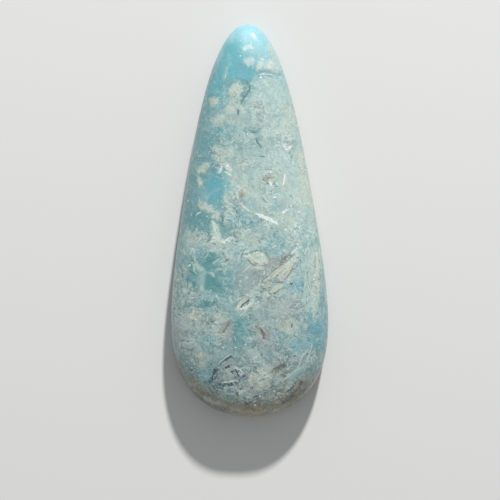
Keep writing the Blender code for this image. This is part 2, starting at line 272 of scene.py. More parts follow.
# Clumps of packed crystals with a crisp outline, in the same way
CLUMPS = (
    ("tip_blotch", "silk", 0.4, 0.15, (
        (-0.9, 19.9), (-0.4, 20.3), (0.1, 20.6), (0.2, 20.3), (0.5, 20.1), (0.3, 19.8), (-0.2, 19.9),
        (-0.6, 19.6),
    )),
    ("upper_clump", "silk", 0.5, 0.2, (
        (-0.65, 18.6), (-0.3, 18.9), (0.3, 18.9), (0.6, 18.5), (0.3, 18), (-0.3, 17.9), (-0.6, 18.2),
    )),
    ("second_clump", "cream", 0.7, 0.2, (
        (0.75, 17.3), (1, 17.8), (1.1, 18.3), (1.6, 18.4), (1.7, 17.9), (1.4, 17.6), (1, 17.25),
    )),
    ("corner_clump", "beige", 0.9, 0.2, (
        (2, 18), (2.3, 18.8), (2.7, 18.6), (3, 18.1), (3.5, 17.5), (3, 17.3), (2.2, 17.4), (1.9, 17.6),
    )),
    ("ringed_lump", "beige", 0.8, 0.2, (
        (-2.5, 15.2), (-2, 15.9), (-1.2, 16.2), (-0.9, 15.6), (-0.8, 14.9), (-1.1, 14.2), (-2, 14.1),
        (-2.4, 14.6),
    )),
    ("tail_of_the_lump", "beige", 0.6, 0.25, (
        (-2.4, 13.9), (-1.7, 14.1), (-1.5, 13.3), (-1.7, 12.5), (-2.7, 12.2), (-2.9, 12.8), (-2.5, 13.2),
    )),
    ("round_dot", "cream", 0.65, 0.2, (
        (-4.75, 13.9), (-4.3, 14.3), (-3.8, 14.1), (-3.65, 13.6), (-4, 13.2), (-4.5, 13.2),
    )),
    ("ringed_clump", "beige", 0.65, 0.22, (
        (-4.7, 11.9), (-3.9, 12.2), (-3.1, 12.1), (-2.8, 11.6), (-3.1, 10.9), (-3.9, 10.9), (-4.5, 11.2),
    )),
    ("lobe_one", "cream", 0.6, 0.2, ((-4.5, 8.3), (-3.9, 8.7), (-3.2, 8.4), (-3, 8), (-3.6, 7.9), (-4.3, 8))),
    ("lobe_two", "cream", 0.55, 0.2, (
        (-4.4, 7.4), (-3.9, 7.7), (-3, 7.9), (-2, 8.4), (-1.6, 8), (-1.8, 7.4), (-2.4, 7), (-3.4, 6.9),
        (-4.2, 7),
    )),
    ("lobe_three", "cream", 0.6, 0.25, (
        (-3.8, 6.9), (-3, 6.9), (-2.4, 6.4), (-2.3, 6), (-2.9, 6), (-3.6, 6.5),
    )),
    ("left_patch", "cream", 0.7, 0.22, (
        (-5.8, 6.3), (-5.2, 6.6), (-4.6, 6.7), (-4.7, 6.2), (-5.1, 5.6), (-5.7, 5.4), (-6.1, 5.7),
    )),
    ("left_drop", "cream", 0.8, 0.2, (
        (-6.1, 4.7), (-5.8, 5), (-5.5, 4.8), (-5.5, 4.2), (-5.9, 3.7), (-6.1, 4.1),
    )),
    ("crystal_one", "silk", 0.5, 0.15, ((-3.8, 5.95), (-3.3, 6), (-3.2, 5.5), (-3.6, 5.35))),
    ("crystal_two", "silk", 0.6, 0.15, ((-2.9, 6.2), (-2.4, 6.2), (-2.3, 5.5), (-2.9, 5.5))),
    ("white_band", "cream", 0.7, 0.25, (
        (-6.1, 1.9), (-5.5, 2.1), (-4.8, 1.6), (-4.1, 1.2), (-3.4, 0.9), (-3.3, 0.2), (-4.1, 0.15),
        (-4.4, 0.7), (-5.2, 1.1), (-5.9, 1.2),
    )),
    ("white_clump", "cream", 0.6, 0.22, (
        (-4.5, -0.4), (-4.2, -0.2), (-3.7, -0.6), (-3.5, -1.2), (-3.2, -1.9), (-3, -2.4), (-3.3, -2.9),
        (-3.9, -2.8), (-4.6, -2.9), (-4.7, -2.2), (-4.2, -1.6), (-4.3, -0.9),
    )),
    ("big_oval", "cream", 1, 0.15, (
        (-0.52, -4.1), (0.18, -3.75), (1.59, -3.85), (2.09, -4.6), (1.99, -5), (1.28, -5.15), (0.38, -5),
        (-0.12, -4.6),
    )),
    ("small_oval", "cream", 0.9, 0.18, ((0.5, -5.5), (1.3, -5.2), (1.4, -5.7), (0.8, -5.9))),
    ("fan", "beige", 0.95, 0.15, (
        (1.4, -7.3), (2.2, -6.95), (3, -6.75), (3.9, -7.1), (4.6, -6.4), (5.4, -4.8), (5.25, -4.6),
        (4.2, -4.85), (3.3, -5.35), (2.2, -6.3),
    )),
    ("low_blade", "beige", 0.95, 0.12, (
        (2.19, -8.41), (2.89, -8.31), (3.79, -7.71), (3.59, -7.5), (2.89, -7.75), (2.3, -8.1),
    )),
    ("upper_low_blade", "beige", 0.9, 0.12, (
        (1.54, -7.41), (2.59, -7.22), (2.5, -7.5), (2.19, -7.81), (1.54, -7.75),
    )),
    ("blob", "beige", 0.95, 0.12, ((1.43, -8.41), (1.8, -8.3), (2.09, -8.51), (2, -8.91), (1.48, -8.91))),
    ("left_crevice", "rose", 0.9, 0.3, (
        (-3.6, -13.4), (-3.2, -12.7), (-2.7, -11.9), (-2.4, -12.4), (-2.7, -13.2), (-3.1, -13.8),
    )),
    ("right_crevice", "rose", 0.6, 0.3, (
        (0.4, -12.6), (1.1, -12.4), (1.6, -12.8), (1.8, -13.8), (1.3, -13.9), (0.8, -13.2),
    )),
    ("split_left", "beige", 0.75, 0.2, (
        (-1.75, -10.2), (-1.3, -9.5), (-0.6, -9.2), (-0.6, -9.5), (-1.2, -10.1), (-1.6, -10.4),
    )),
    ("split_right", "beige", 0.6, 0.2, (
        (-0.9, -10.5), (-0.4, -10.1), (0.1, -9.8), (0.1, -9.6), (-0.3, -9.7), (-0.8, -10.1),
    )),
    ("pale_left_of_middle", "milk", 0.5, 0.4, ((-2.9, 3.6), (-2.2, 3.7), (-2, 2.6), (-2.6, 2), (-3.1, 2.4))),
    ("warm_middle", "beige", 0.55, 0.4, ((-1.3, 3.8), (-0.6, 4), (-0.2, 3.4), (-0.8, 2.8), (-1.4, 3.1))),
    ("right_fibres", "beige", 0.6, 0.3, ((5, -2.4), (5.9, -2.3), (6.2, -2.9), (5.2, -2.9))),
)

# Bundles of fibres laid in the surface: name, colour, breadth, then the points across and along
BUNDLES = (
    ("main", "white", 0.17, ((0.8, 0.78), (2.2, 0.25), (3.3, -0.42))),
    ("main_beside", "white", 0.15, ((1.1, 0.5), (2.1, 0.08), (2.9, -0.32))),
    ("main_left", "silk", 0.10, ((-0.95, 1.8), (-0.4, 1.3), (-0.1, 1.1))),
    ("streak_right", "white", 0.24, ((4, 0.9), (4.52, 1.28))),
    ("streak_upper", "white", 0.24, ((4.02, 4.16), (4.29, 4.68), (4.45, 5.32))),
    ("sparkle_left", "white", 0.30, ((2.4, 4.44), (2.69, 3.92))),
    ("sparkle_right", "rose", 0.28, ((2.69, 3.92), (3.03, 4.39))),
    ("corner_one", "silk", 0.30, ((4.49, 8.87), (5.02, 8.3))),
    ("corner_two", "silk", 0.30, ((5.02, 8.3), (5.85, 8.88))),
    ("clump_top", "silk", 0.30, ((-4.4, -0.1), (-4.2, -0.5), (-4.1, -1.1))),
    ("clump_streak", "white", 0.16, ((-2.95, -2.4), (-2.4, -2.1))),
    ("crystal_one", "silk", 0.24, ((-3.38, 6.35), (-3.67, 5.55))),
    ("crystal_two", "silk", 0.28, ((-2.69, 6.47), (-2.22, 5.77))),
    ("crystal_three", "silk", 0.20, ((-2.97, 5.66), (-2.34, 5.25))),
    ("split_left", "silk", 0.30, ((-1.47, -10.15), (-0.89, -9.46), (-0.2, -8.94))),
    ("split_right", "silk", 0.30, ((-0.66, -10.32), (-0.2, -9.86), (0.32, -9.52))),
    ("flank_fibres_one", "milk", 0.80, ((7.27, -3.35), (7.44, -6.02), (7.37, -10.18))),
    ("flank_fibres_two", "milk", 0.40, ((7.82, -2.51), (7.99, -5.56))),
    ("flank_fibres_three", "milk", 0.50, ((6.74, -4.86), (6.85, -7.52), (6.56, -9.24))),
    ("low_right_one", "milk", 0.25, ((5.81, -17.34), (6.27, -16.07), (7.06, -15.24))),
    ("low_right_two", "milk", 0.25, ((3.96, -18.72), (4.88, -18.09), (5.78, -17.4))),
    ("low_right_three", "milk", 0.25, ((6.86, -16.9), (7.44, -15.75), (7.91, -14.48))),
    ("eye_top", "milk", 0.10, ((-3.56, -16.54), (-2.85, -15.98), (-2.16, -15.5))),
    ("eye_low", "silk", 0.18, ((-3.2, -18.97), (-2.51, -18.83), (-1.93, -18.71))),
    ("eye_side", "silk", 0.30, ((-1.64, -17.02), (-0.95, -17.54))),
    ("squiggle", "silk", 0.20, ((-1.3, -20.47), (-1.01, -20.11), (-0.61, -20.0))),
    ("over_the_fan", "silk", 0.22, ((4.99, -3.82), (5.69, -3.24))),
    ("clump_long", "silk", 0.14, ((-4.35, -0.3), (-4.0, -1.5), (-3.6, -2.2))),
    ("clump_foot", "silk", 0.14, ((-4.6, -2.5), (-3.9, -2.3), (-3.2, -2.6))),
)

# Flat crystal blades, laid in the same way
BLADES = (
    ("split_left", "cream", 0.45, ((-1.5, -10.24), (-0.9, -9.54), (-0.2, -9.04))),
    ("split_right", "cream", 0.36, ((-0.7, -10.44), (-0.2, -9.94), (0.3, -9.64))),
    ("left_crevice_one", "rose", 0.40, ((-3.4, -13.14), (-3.0, -12.34), (-2.5, -11.74))),
    ("left_crevice_two", "rose", 0.37, ((-2.9, -13.34), (-2.4, -12.64), (-2.1, -12.04))),
    ("right_crevice_one", "rose", 0.42, ((0.5, -12.44), (1.0, -13.04), (1.2, -13.84))),
    ("right_crevice_two", "rose", 0.35, ((1.6, -12.34), (2.1, -12.94), (2.3, -13.64))),
    ("fan_one", "beige", 0.30, ((2.0, -6.7), (3.0, -5.95), (4.6, -4.85))),
    ("fan_two", "straw", 0.30, ((2.6, -6.65), (3.5, -5.85), (4.9, -4.75))),
    ("fan_three", "beige", 0.30, ((3.1, -6.75), (3.95, -6.05), (5.1, -4.8))),
    ("fan_four", "cream", 0.16, ((3.85, -6.9), (4.5, -5.95), (5.15, -4.95))),
    ("fan_five", "straw", 0.20, ((3.6, -7), (4.3, -6.3), (4.9, -5.4))),
    ("low_one", "beige", 0.26, ((1.6, -7.6), (2, -7.42), (2.6, -7.3))),
    ("low_three", "cream", 0.36, ((2.25, -8.3), (2.9, -8.1), (3.75, -7.6))),
    ("low_blob", "beige", 0.52, ((1.5, -8.72), (2.02, -8.64))),
    ("eye_band", "rose", 0.30, ((-3.2, -16.98), (-2.6, -16.55), (-2.1, -16.22))),
    ("eye_patch", "dust", 0.55, ((-2.6, -17.9), (-2.15, -18), (-1.8, -18.15))),
)

# Dark seams and healed cracks, laid in the same way
SEAMS = (
    ("tip_crack", "slate", 0.12, ((0.85, 17), (1.6, 17.15), (2.2, 17.25), (3, 17.1), (3.5, 16.9))),
    ("ring_of_the_lump", "slate", 0.16, ((-0.3, 15.96), (0.0, 15.46), (-0.3, 14.76), (-0.8, 14.06), (-1.1, 13.56))),
    ("ring_of_the_lump_top", "slate", 0.09, ((-1.0, 15.76), (-0.8, 16.16), (-0.4, 16.06))),
    ("ringed_lump_grain", "slate", 0.09, ((-2.1, 14.36), (-1.5, 14.86))),
    ("small_clump_side", "slate", 0.16, ((-1.4, 12.96), (-1.4, 12.36))),
    ("crack_upper_middle", "slate", 0.13, ((0.7, 9.46), (1.1, 8.86), (1.4, 8.36))),
    ("two_spots_left", "slate", 0.12, ((-0.5, 10.26), (-0.3, 9.86))),
    ("two_spots_right", "slate", 0.13, ((0.1, 10.26), (1.0, 10.26))),
    ("lobe_one", "peach", 0.09, ((-4.4, 7.56), (-3.4, 7.56), (-2.6, 7.76))),
    ("lobe_two", "peach", 0.09, ((-4.1, 6.86), (-3.0, 6.66))),
    ("lobe_left_side", "slate", 0.12, ((-4.6, 8.46), (-4.5, 7.86), (-4.7, 7.16))),
    ("band_right_side", "slate", 0.10, ((-3.25, 0.5), (-3.1, 0), (-3.3, -0.45))),
    ("oval_top", "umber", 0.11, ((-0.6, -4), (0, -3.8), (0.6, -3.55), (1.3, -3.55), (1.75, -3.85))),
    ("oval_low", "umber", 0.09, ((-0.3, -4.5), (0.35, -5.1), (1.3, -5.25), (2.1, -5.1))),
    ("oval_right", "peach", 0.09, ((2.1, -4.84), (2.3, -4.44), (1.9, -3.94))),
    ("oval_grain", "peach", 0.07, ((0.3, -4.24), (1.1, -4.54))),
    ("split_one", "slate", 0.21, ((-1.1, -10.24), (-0.7, -9.64), (-0.1, -9.24))),
    ("split_two", "slate", 0.16, ((-0.9, -10.54), (-0.3, -10.14))),
    ("split_left_side", "slate", 0.09, ((-1.7, -10.14), (-1.1, -9.34))),
    ("left_crevice", "umber", 0.19, ((-3.1, -13.04), (-2.7, -12.34), (-2.5, -12.04))),
    ("left_crevice_side", "umber", 0.09, ((-3.5, -13.04), (-3.2, -12.24))),
    ("right_crevice", "umber", 0.17, ((1.2, -12.54), (1.5, -13.14), (1.6, -13.74))),
    ("right_crevice_side", "umber", 0.10, ((0.7, -12.24), (1.1, -12.84))),
    ("brown_speck_left", "umber", 0.12, ((-2.9, -4.84), (-2.4, -4.54))),
    ("low_right_one", "ink", 0.16, ((4.4, -20.44), (5.2, -20.04), (5.8, -19.34))),
    ("low_right_two", "umber", 0.21, ((5.6, -19.54), (6.0, -18.84))),
    ("low_middle_one", "ink", 0.19, ((0.3, -21.04), (0.8, -20.74), (1.2, -20.54))),
    ("low_middle_two", "ink", 0.13, ((-0.8, -20.94), (-0.3, -21.34))),
    ("brown_hair", "umber", 0.10, ((6.3, -16.44), (6.5, -17.04))),
    ("brown_right_one", "umber", 0.13, ((2.7, -17.34), (3.4, -16.94), (4.0, -16.94))),
    ("brown_right_two", "umber", 0.10, ((3.5, -18.14), (4.1, -17.94), (4.0, -18.44))),
    ("brown_right_three", "umber", 0.10, ((2.1, -20.34), (2.8, -19.84), (3.6, -19.74))),
    ("dark_low_left", "ink", 0.12, ((-5.8, -20.84), (-5.1, -21.44))),
    ("left_low_dash", "ink", 0.16, ((-8.0, -14.14), (-7.6, -14.04))),
    ("left_flank_dash", "umber", 0.14, ((-8.0, -5.64), (-7.1, -6.04))),
    ("left_flank_side", "slate", 0.10, ((-7.9, -6.34), (-8.0, -7.74), (-7.8, -8.84))),
    ("low_left_curve", "slate", 0.10, ((-6.4, -15.84), (-6.3, -16.64), (-6.5, -17.24))),
    ("beside_the_sparkles_one", "peach", 0.15, ((1.5, 4.86), (2.0, 4.36))),
    ("beside_the_sparkles_two", "peach", 0.14, ((2.3, 5.26), (2.7, 4.86))),
    ("middle_dash_one", "umber", 0.12, ((-1.6, 1.16), (-1.4, 0.66))),
    ("middle_dash_two", "slate", 0.10, ((1.4, 2.56), (1.8, 2.26))),
    ("upper_dash", "slate", 0.09, ((1.1, 7.46), (1.8, 7.36))),
    ("eye_outer_upper", "ink", 0.22, ((-3.6, -16.75), (-2.85, -16.1), (-2.1, -15.8))),
    ("eye_outer_lower", "ink", 0.26, ((-3.85, -17.35), (-4.15, -17.75), (-4.45, -18.3), (-4.8, -18.85))),
    ("eye_blob_left", "ink", 0.32, ((-4.2, -17.6), (-4, -17.4))),
    ("eye_inner", "ink", 0.25, ((-2.95, -17.2), (-2.5, -16.98), (-2, -16.55))),
    ("eye_right_side", "ink", 0.14, ((-1.66, -16.95), (-1.64, -17.5), (-1.15, -18.2))),
    ("eye_crossbar", "ink", 0.12, ((-2.9, -17.45), (-1.93, -17.52), (-1.05, -17.55))),
    ("eye_bottom", "slate", 0.10, ((-4.1, -19.15), (-3.1, -19.15), (-2.3, -19.05))),
    ("eye_bottom_blob_one", "ink", 0.25, ((-3.65, -19.43), (-3.45, -19.47))),
    ("eye_bottom_blob_two", "ink", 0.40, ((-2.3, -19.14), (-2.02, -19.06))),
    ("eye_bottom_blob_three", "ink", 0.25, ((-3.27, -19.5), (-3.07, -19.47))),
    ("eye_bottom_right", "slate", 0.14, ((-1.85, -18.85), (-1.3, -18.9), (-1.05, -18.4))),
    ("eye_right_blob", "ink", 0.30, ((-0.78, -18.18), (-0.55, -18.01))),
    ("eye_under", "slate", 0.18, ((-4.71, -19.41), (-4.25, -19.84), (-3.7, -20.18))),
    ("eye_hatch_one", "ink", 0.16, ((-3.75, -17.6), (-4.1, -18.3), (-4.3, -18.75))),
    ("eye_hatch_two", "ink", 0.10, ((-2.33, -17.08), (-1.82, -18.12))),
    ("eye_hatch_three", "slate", 0.10, ((-1.58, -16.84), (-1.12, -17.42))),
    ("eye_top_right", "slate", 0.13, ((-1.87, -16.61), (-1.35, -17.08), (-1.01, -17.77))),
    ("low_line", "ink", 0.14, ((0.72, -20.05), (1.42, -19.94), (2, -20.12))),
    ("fan_left_side", "umber", 0.10, ((1.3, -7.35), (1.6, -6.9), (2.4, -6.2), (3.4, -5.3), (4.3, -4.85))),
    ("fan_cleft", "umber", 0.10, ((3.95, -6.75), (4.5, -5.95), (5, -5.1))),
    ("fan_line_one", "peach", 0.08, ((2.3, -6.7), (3.4, -5.8), (4.7, -4.85))),
    ("fan_line_two", "umber", 0.09, ((4.15, -6.95), (4.75, -6.1), (5.4, -4.9))),
    ("fan_notch", "umber", 0.16, ((2.95, -6.25), (3.4, -6.5))),
    ("low_blades_top", "peach", 0.07, ((1.5, -7.33), (2, -7.2), (2.65, -7.15))),
    ("low_blades_between", "umber", 0.10, ((2.35, -7.1), (3.1, -7.22), (3.95, -7.3))),
    ("low_blades_under", "umber", 0.10, ((2.2, -8.55), (2.95, -8.4), (3.85, -7.8))),
    ("low_blades_hook", "umber", 0.10, ((1.35, -7.7), (1.6, -7.95), (2.15, -8), (2.15, -8.4))),
)

# Soft marks that are only colour: pale veins in the clear pools, brown and straw stains
STAINS = (
    ("left_of_the_tip", "milk", 0.07, ((-2.35, 19.2), (-2.35, 18))),
    ("beside_the_tip", "milk", 0.12, ((-2.7, 17.6), (-2.9, 16.5))),
    ("between_pools", "milk", 0.45, ((-5.9, -9.24), (-5.6, -7.54), (-5.5, -6.04), (-6.1, -5.14))),
    ("below_pools", "aqua", 0.30, ((-6.1, -9.74), (-5.7, -8.74), (-4.4, -8.54), (-3.2, -8.84))),
    ("over_the_teal", "aqua", 0.30, ((-5.4, -6.14), (-4.4, -5.94), (-3.6, -6.44), (-2.9, -7.44))),
    ("left_of_the_teal", "aqua", 0.25, ((-7.2, -5.74), (-6.6, -6.74), (-5.7, -7.24))),
    ("in_the_blue", "milk", 0.07, ((-5.0, 2.46), (-4.3, 3.26), (-3.5, 3.56))),
    ("over_the_fan", "umber", 0.60, ((3.67, -4.95), (4.18, -4.39), (4.69, -4.05))),
    ("tan_spot_one", "straw", 1.00, ((0.15, -18.7), (0.61, -18.12))),
    ("tan_spot_two", "straw", 0.70, ((0.72, -19.52), (1.3, -19.41))),
    ("rim_dark_one", "umber", 0.40, ((4.89, -20.15), (5.48, -19.58), (5.98, -18.99))),
    ("rim_dark_two", "umber", 0.40, ((-0.43, -21.24), (0.03, -21.06))),
    ("rim_dark_three", "umber", 0.50, ((0.49, -20.94), (1.07, -20.71))),
    ("brown_right_upper", "umber", 0.35, ((2.57, -17.54), (3.14, -17.2), (3.72, -16.91))),
    ("brown_right_lower", "umber", 0.30, ((2.51, -19.41), (2.45, -18.71))),
    ("brown_right_side", "umber", 0.25, ((3.96, -18.02), (4.19, -18.61), (3.96, -19.07))),
    ("left_sand", "straw", 0.45, ((-6.75, -11.56), (-6.32, -10.97), (-5.97, -10.51))),
    ("left_brown", "umber", 0.28, ((-5.39, -11.66), (-4.93, -11.89), (-4.52, -11.73))),
    ("warm_line", "peach", 0.20, ((-1.01, 3.22), (-0.97, 2.53))),
    ("rosy_patch", "beige", 0.30, ((-0.89, 3.46), (-0.43, 3.34))),
    ("left_crevice_side", "rose", 0.60, ((-3.2, -13.38), (-2.73, -12.45), (-2.27, -11.76))),
    ("left_crevice_lower", "rose", 0.50, ((-2.39, -13.61), (-2.04, -12.8))),
    ("right_crevice_side", "rose", 0.50, ((0.95, -12.22), (1.41, -13.03), (1.64, -13.95))),
    ("eye_inside", "heather", 0.80, ((-3.78, -18.6), (-2.74, -18.24), (-1.82, -17.77))),
    ("low_left_rind", "straw", 0.40, ((-5.08, -20.65), (-4.15, -21.1), (-2.98, -21.44))),
)

# White flakes that are painted highlights, bright white crystals with some real gloss standing in for glints, and
# coloured specks: colour, across, along, size
FLAKES = (
    # The first is the glint low on the butt, a painted highlight
    ("white", 0.63, -22.35, 0.30),
    ("white", 1.5, 16.86, 0.26), ("white", -0.3, 10.06, 0.30), ("white", 3.0, 2.66, 0.26),
    ("white", 0.2, 0.96, 0.23), ("white", 6.4, 1.06, 0.30), ("white", 6.3, -0.74, 0.28),
    ("white", 4.3, -1.14, 0.30), ("white", 2.8, 5.96, 0.23), ("white", 2.5, 5.56, 0.23),
    ("white", 3.3, 4.06, 0.30), ("white", -2.7, 6.26, 0.35), ("white", -2.3, 5.76, 0.28),
    ("white", -7.7, -5.14, 0.23), ("white", -7.3, -4.84, 0.23), ("white", -3.8, -8.84, 0.23),
    ("white", -3.9, -8.74, 0.19), ("white", 8.6, -6.74, 0.23), ("white", 1.2, -17.84, 0.30),
    ("white", -0.5, -14.44, 0.23), ("white", -3.1, -14.74, 0.21), ("white", -6.7, -11.34, 0.23),
    ("white", -6.4, -11.54, 0.21), ("white", -3.9, -11.84, 0.21), ("white", 3.7, -12.64, 0.21),
    ("white", -4.2, -0.44, 0.26), ("white", -2.4, -2.44, 0.28), ("white", -3.0, -2.64, 0.26),
    ("white", 5.0, 8.36, 0.30), ("white", 5.6, 8.66, 0.28), ("white", 4.7, 8.96, 0.23),
    ("white", 5.5, -2.34, 0.23), ("white", 5.9, -2.74, 0.23), ("white", 6.7, -3.44, 0.21),
    ("white", 7.2, -5.74, 0.19), ("white", 7.0, -9.24, 0.21), ("white", 1.2, -20.84, 0.21),
    ("white", 0.6, -21.64, 0.23), ("white", -1.6, -14.74, 0.19), ("white", -3.2, -2.34, 0.23),
    ("white", -5.2, 0.46, 0.23), ("white", -5.4, 1.86, 0.21), ("white", 1.9, 19.26, 0.23),
    ("white", -1.2, 19.56, 0.23), ("moss", 4.83, -7.31, 0.48), ("cyan", 3.34, 4.15, 0.58),
    ("umber", 1.6, 4.76, 0.26), ("umber", 2.3, 4.91, 0.24), ("rose", 2.1, 4.26, 0.30),
    ("umber", 2.9, 5.06, 0.20), ("rose", 1.9, 5.26, 0.26),
    ("umber", -5.5, -11.04, 0.22), ("peach", -5.9, -10.74, 0.24), ("umber", 6.9, -16.74, 0.20),
)

# Which way the silky fibres lie: name, across, along, reach, direction from +X in degrees
SPRAYS = (
    ("right_flank", 7.2, -5.84, 3.0, 94),
    ("right_flank_high", 5.6, 5.16, 3.5, 75),
    ("upper_right", 3.0, 12.16, 4.0, 60),
    ("middle", 1.0, 4.16, 4.0, -35),
    ("white_blades", 2.5, 0.16, 2.5, -28),
    ("cream_blades", 3.8, -6.34, 3.0, 50),
    ("left_pools", -5.0, -6.84, 3.5, 100),
    ("lower_left", -5.5, -12.84, 4.0, 50),
    ("crevices", -0.5, -11.84, 3.0, 60),
    ("lower_right", 6.0, -13.84, 4.0, 50),
    ("under_the_eye", -3.0, -18.84, 3.0, 40),
    ("butt", 2.0, -20.34, 3.5, 15),
)

# Shallow pockets plucked out in polishing: across, along, length, width, depth, turn in degrees
POCKETS = (
    (-0.70, -9.64, 1.45, 0.62, 0.16, 48),
    (-2.85, -12.64, 1.60, 0.55, 0.10, 62),
    (1.50, -13.34, 1.50, 0.50, 0.09, -58),
    (4.25, -4.39, 1.50, 0.70, 0.05, 42),
    (-4.00, -17.74, 2.60, 0.48, 0.05, 51),
    (-3.10, -19.23, 2.20, 0.42, 0.04, 6),
    (5.76, -19.35, 1.10, 0.42, 0.06, 61),
    (2.30, 17.18, 2.70, 0.42, 0.04, 3),
)


def distance(name, description, default):
    """A length that a user may change."""
    return bpy.props.FloatProperty(
        name=name, description=description, default=default, unit="LENGTH", precision=5
    )


def plain(name, description, default):
    """A plain number that a user may change."""
    return bpy.props.FloatProperty(name=name, description=description, default=default, precision=3)


def whole(name, description, default):
    """A count that a user may change."""
    return bpy.props.IntProperty(name=name, description=description, default=default, min=1)


def colour(name, description, default):
    """A linear colour that a user may change."""
    return bpy.props.FloatVectorProperty(
        name=name, description=description, default=default, subtype="COLOR", size=3, min=0.0, max=1.0
    )


class LarimarShape(bpy.types.PropertyGroup):
    """Sizes of the stone, which start from the solid's own box."""

    length: distance("Length", "From butt to tip", HIGH.y - LOW.y)
    width: distance("Width", "Across the fullest station", HIGH.x - LOW.x)
    thickness: distance("Thickness", "From the flat back to the top of the crown", 6.7 * MM)
    girdle_height: distance("Girdle height", "Height of the widest line above the back", 1.5 * MM)
    back_bevel: distance("Back bevel", "Radius of the rounded edge round the back", 0.9 * MM)
    taper: plain("Taper", "How much the outline narrows towards the tip", 0.459)
    fullness: plain("Fullness", "How far both ends are filled out again", 0.372)
    pointedness: plain("Pointedness", "How much finer the tip is drawn", 0.113)
    axis_wander: distance("Axis wander", "How far the hand-cut axis strays", 0.165 * MM)
    crown_power: plain("Crown power", "2 is a round crown, more is a flatter one", 2.9)
    ridge_power: plain("Ridge power", "How the crown falls as the stone narrows", 0.6)
    uneven_depth: distance("Unevenness", "Waviness left by hand grinding", 0.06 * MM)
    stations: whole("Stations", "Rows of faces from butt to tip", 486)
    crown_steps: whole("Crown steps", "Faces over the crown at each station", 170)
    back_steps: whole("Back steps", "Faces round the wall and back at each station", 32)


class LarimarColours(bpy.types.PropertyGroup):
    """Colours of the stone and what lies in it, as linear RGB."""

    sky: colour("Sky", "Clear light aqua at the tip", (0.25, 0.53, 0.59))
    aqua: colour("Aqua", "Ground colour of the stone", (0.23, 0.42, 0.44))
    teal: colour("Teal", "Green-blue pools", (0.09, 0.28, 0.28))
    blue: colour("Blue", "Deep blue pools", (0.13, 0.36, 0.42))
    lagoon: colour("Lagoon", "Blue-green pools near the tip", (0.12, 0.40, 0.45))
    milk: colour("Milk", "Felted, milky areas", (0.46, 0.59, 0.55))
    sand: colour("Sand", "Warmer milky areas", (0.50, 0.56, 0.47))
    silk: colour("Silk", "Single pale fibres", (0.66, 0.75, 0.69))
    cream: colour("Cream", "Packed crystals and blades", (0.57, 0.64, 0.55))
    beige: colour("Beige", "Packed grains in the clumps and blades", (0.50, 0.57, 0.50))
    # On the flakes, white also stands in for glints: painted highlights
    white: colour("White", "Needles and flakes", (0.84, 0.88, 0.84))
    ash: colour("Ash", "Greyer ground towards the butt", (0.23, 0.30, 0.29))
    dust: colour("Dust", "Greyer milk towards the butt", (0.38, 0.43, 0.40))
    heather: colour("Heather", "Greyer, lilac ground", (0.30, 0.37, 0.36))
    rose: colour("Rose", "Lilac-grey crystals in the crevices", (0.34, 0.38, 0.36))
    straw: colour("Straw", "Warm stains and blades", (0.51, 0.54, 0.44))
    peach: colour("Peach", "Thin warm lines between crystals", (0.31, 0.33, 0.26))
    slate: colour("Slate", "Shadowed fibres and seams", (0.12, 0.19, 0.20))
    # Umber also darkens the rim of the butt as painted shade
    umber: colour("Umber", "Brown seams", (0.17, 0.16, 0.12))
    ink: colour("Ink", "Blue-black seams of the eye", (0.06, 0.11, 0.15))
    # Olive is partly the rind's own colour and partly painted shade, warm and dark, on the butt, which turns away
    # from the key light
    olive: colour("Olive", "Weathered rind at the butt", (0.385, 0.325, 0.22))
    moss: colour("Moss", "The green speck", (0.15, 0.24, 0.12))
    cyan: colour("Cyan", "The round blue-green speck", (0.35, 0.66, 0.66))


class LarimarStage(bpy.types.PropertyGroup):
    """The floor, lights and camera."""

    floor: colour("Floor", "Colour of the plain floor", (0.74, 0.73, 0.71))
    floor_size: distance("Floor size", "Side of the square floor", 2.0)
    camera_height: distance("Camera height", "How far the camera hangs over the stone's back", 0.30)
    frame_width: distance("Frame width", "Width of floor that the camera sees", 59.0 * MM)
    look_across: distance("Look across", "Camera's place across the stone", 0.03 * MM)
    look_along: distance("Look along", "Camera's place along the stone", -3.47 * MM)
    key_turn: plain("Key turn", "Degrees of the key light from the tip towards the right", 12.0)
    key_rise: plain("Key rise", "Degrees of the key light above the floor", 32.5)
    key_share: plain("Key share", "Brightness of the key light on a sheet square to it", 1.17)
    sky_share: plain("Sky share", "Brightness of the soft light from all round", 0.38)


# Short ways to add nodes


def feed(tree, socket, value):
    """Links a value to a socket, or sets the socket's plain number."""
    if isinstance(value, Number):
        value = value.socket
    if isinstance(value, bpy.types.NodeSocket):
        tree.links.new(value, socket)
    else:
        socket.default_value = value


def add(tree, kind, feeds=(), **options):
    """Adds a node, sets its options, and feeds the sockets that it shows, by name."""
    node = tree.nodes.new(kind)
    for option, value in options.items():
        setattr(node, option, value)
    shown = [socket for socket in node.inputs if socket.enabled]
    for name, value in dict(feeds).items():
        feed(tree, next(socket for socket in shown if socket.name == name), value)
    return node


def out(node, name=None):
    """An output that the node shows, the first one unless it is named."""
    return next(socket for socket in node.outputs if socket.enabled and name in (None, socket.name))


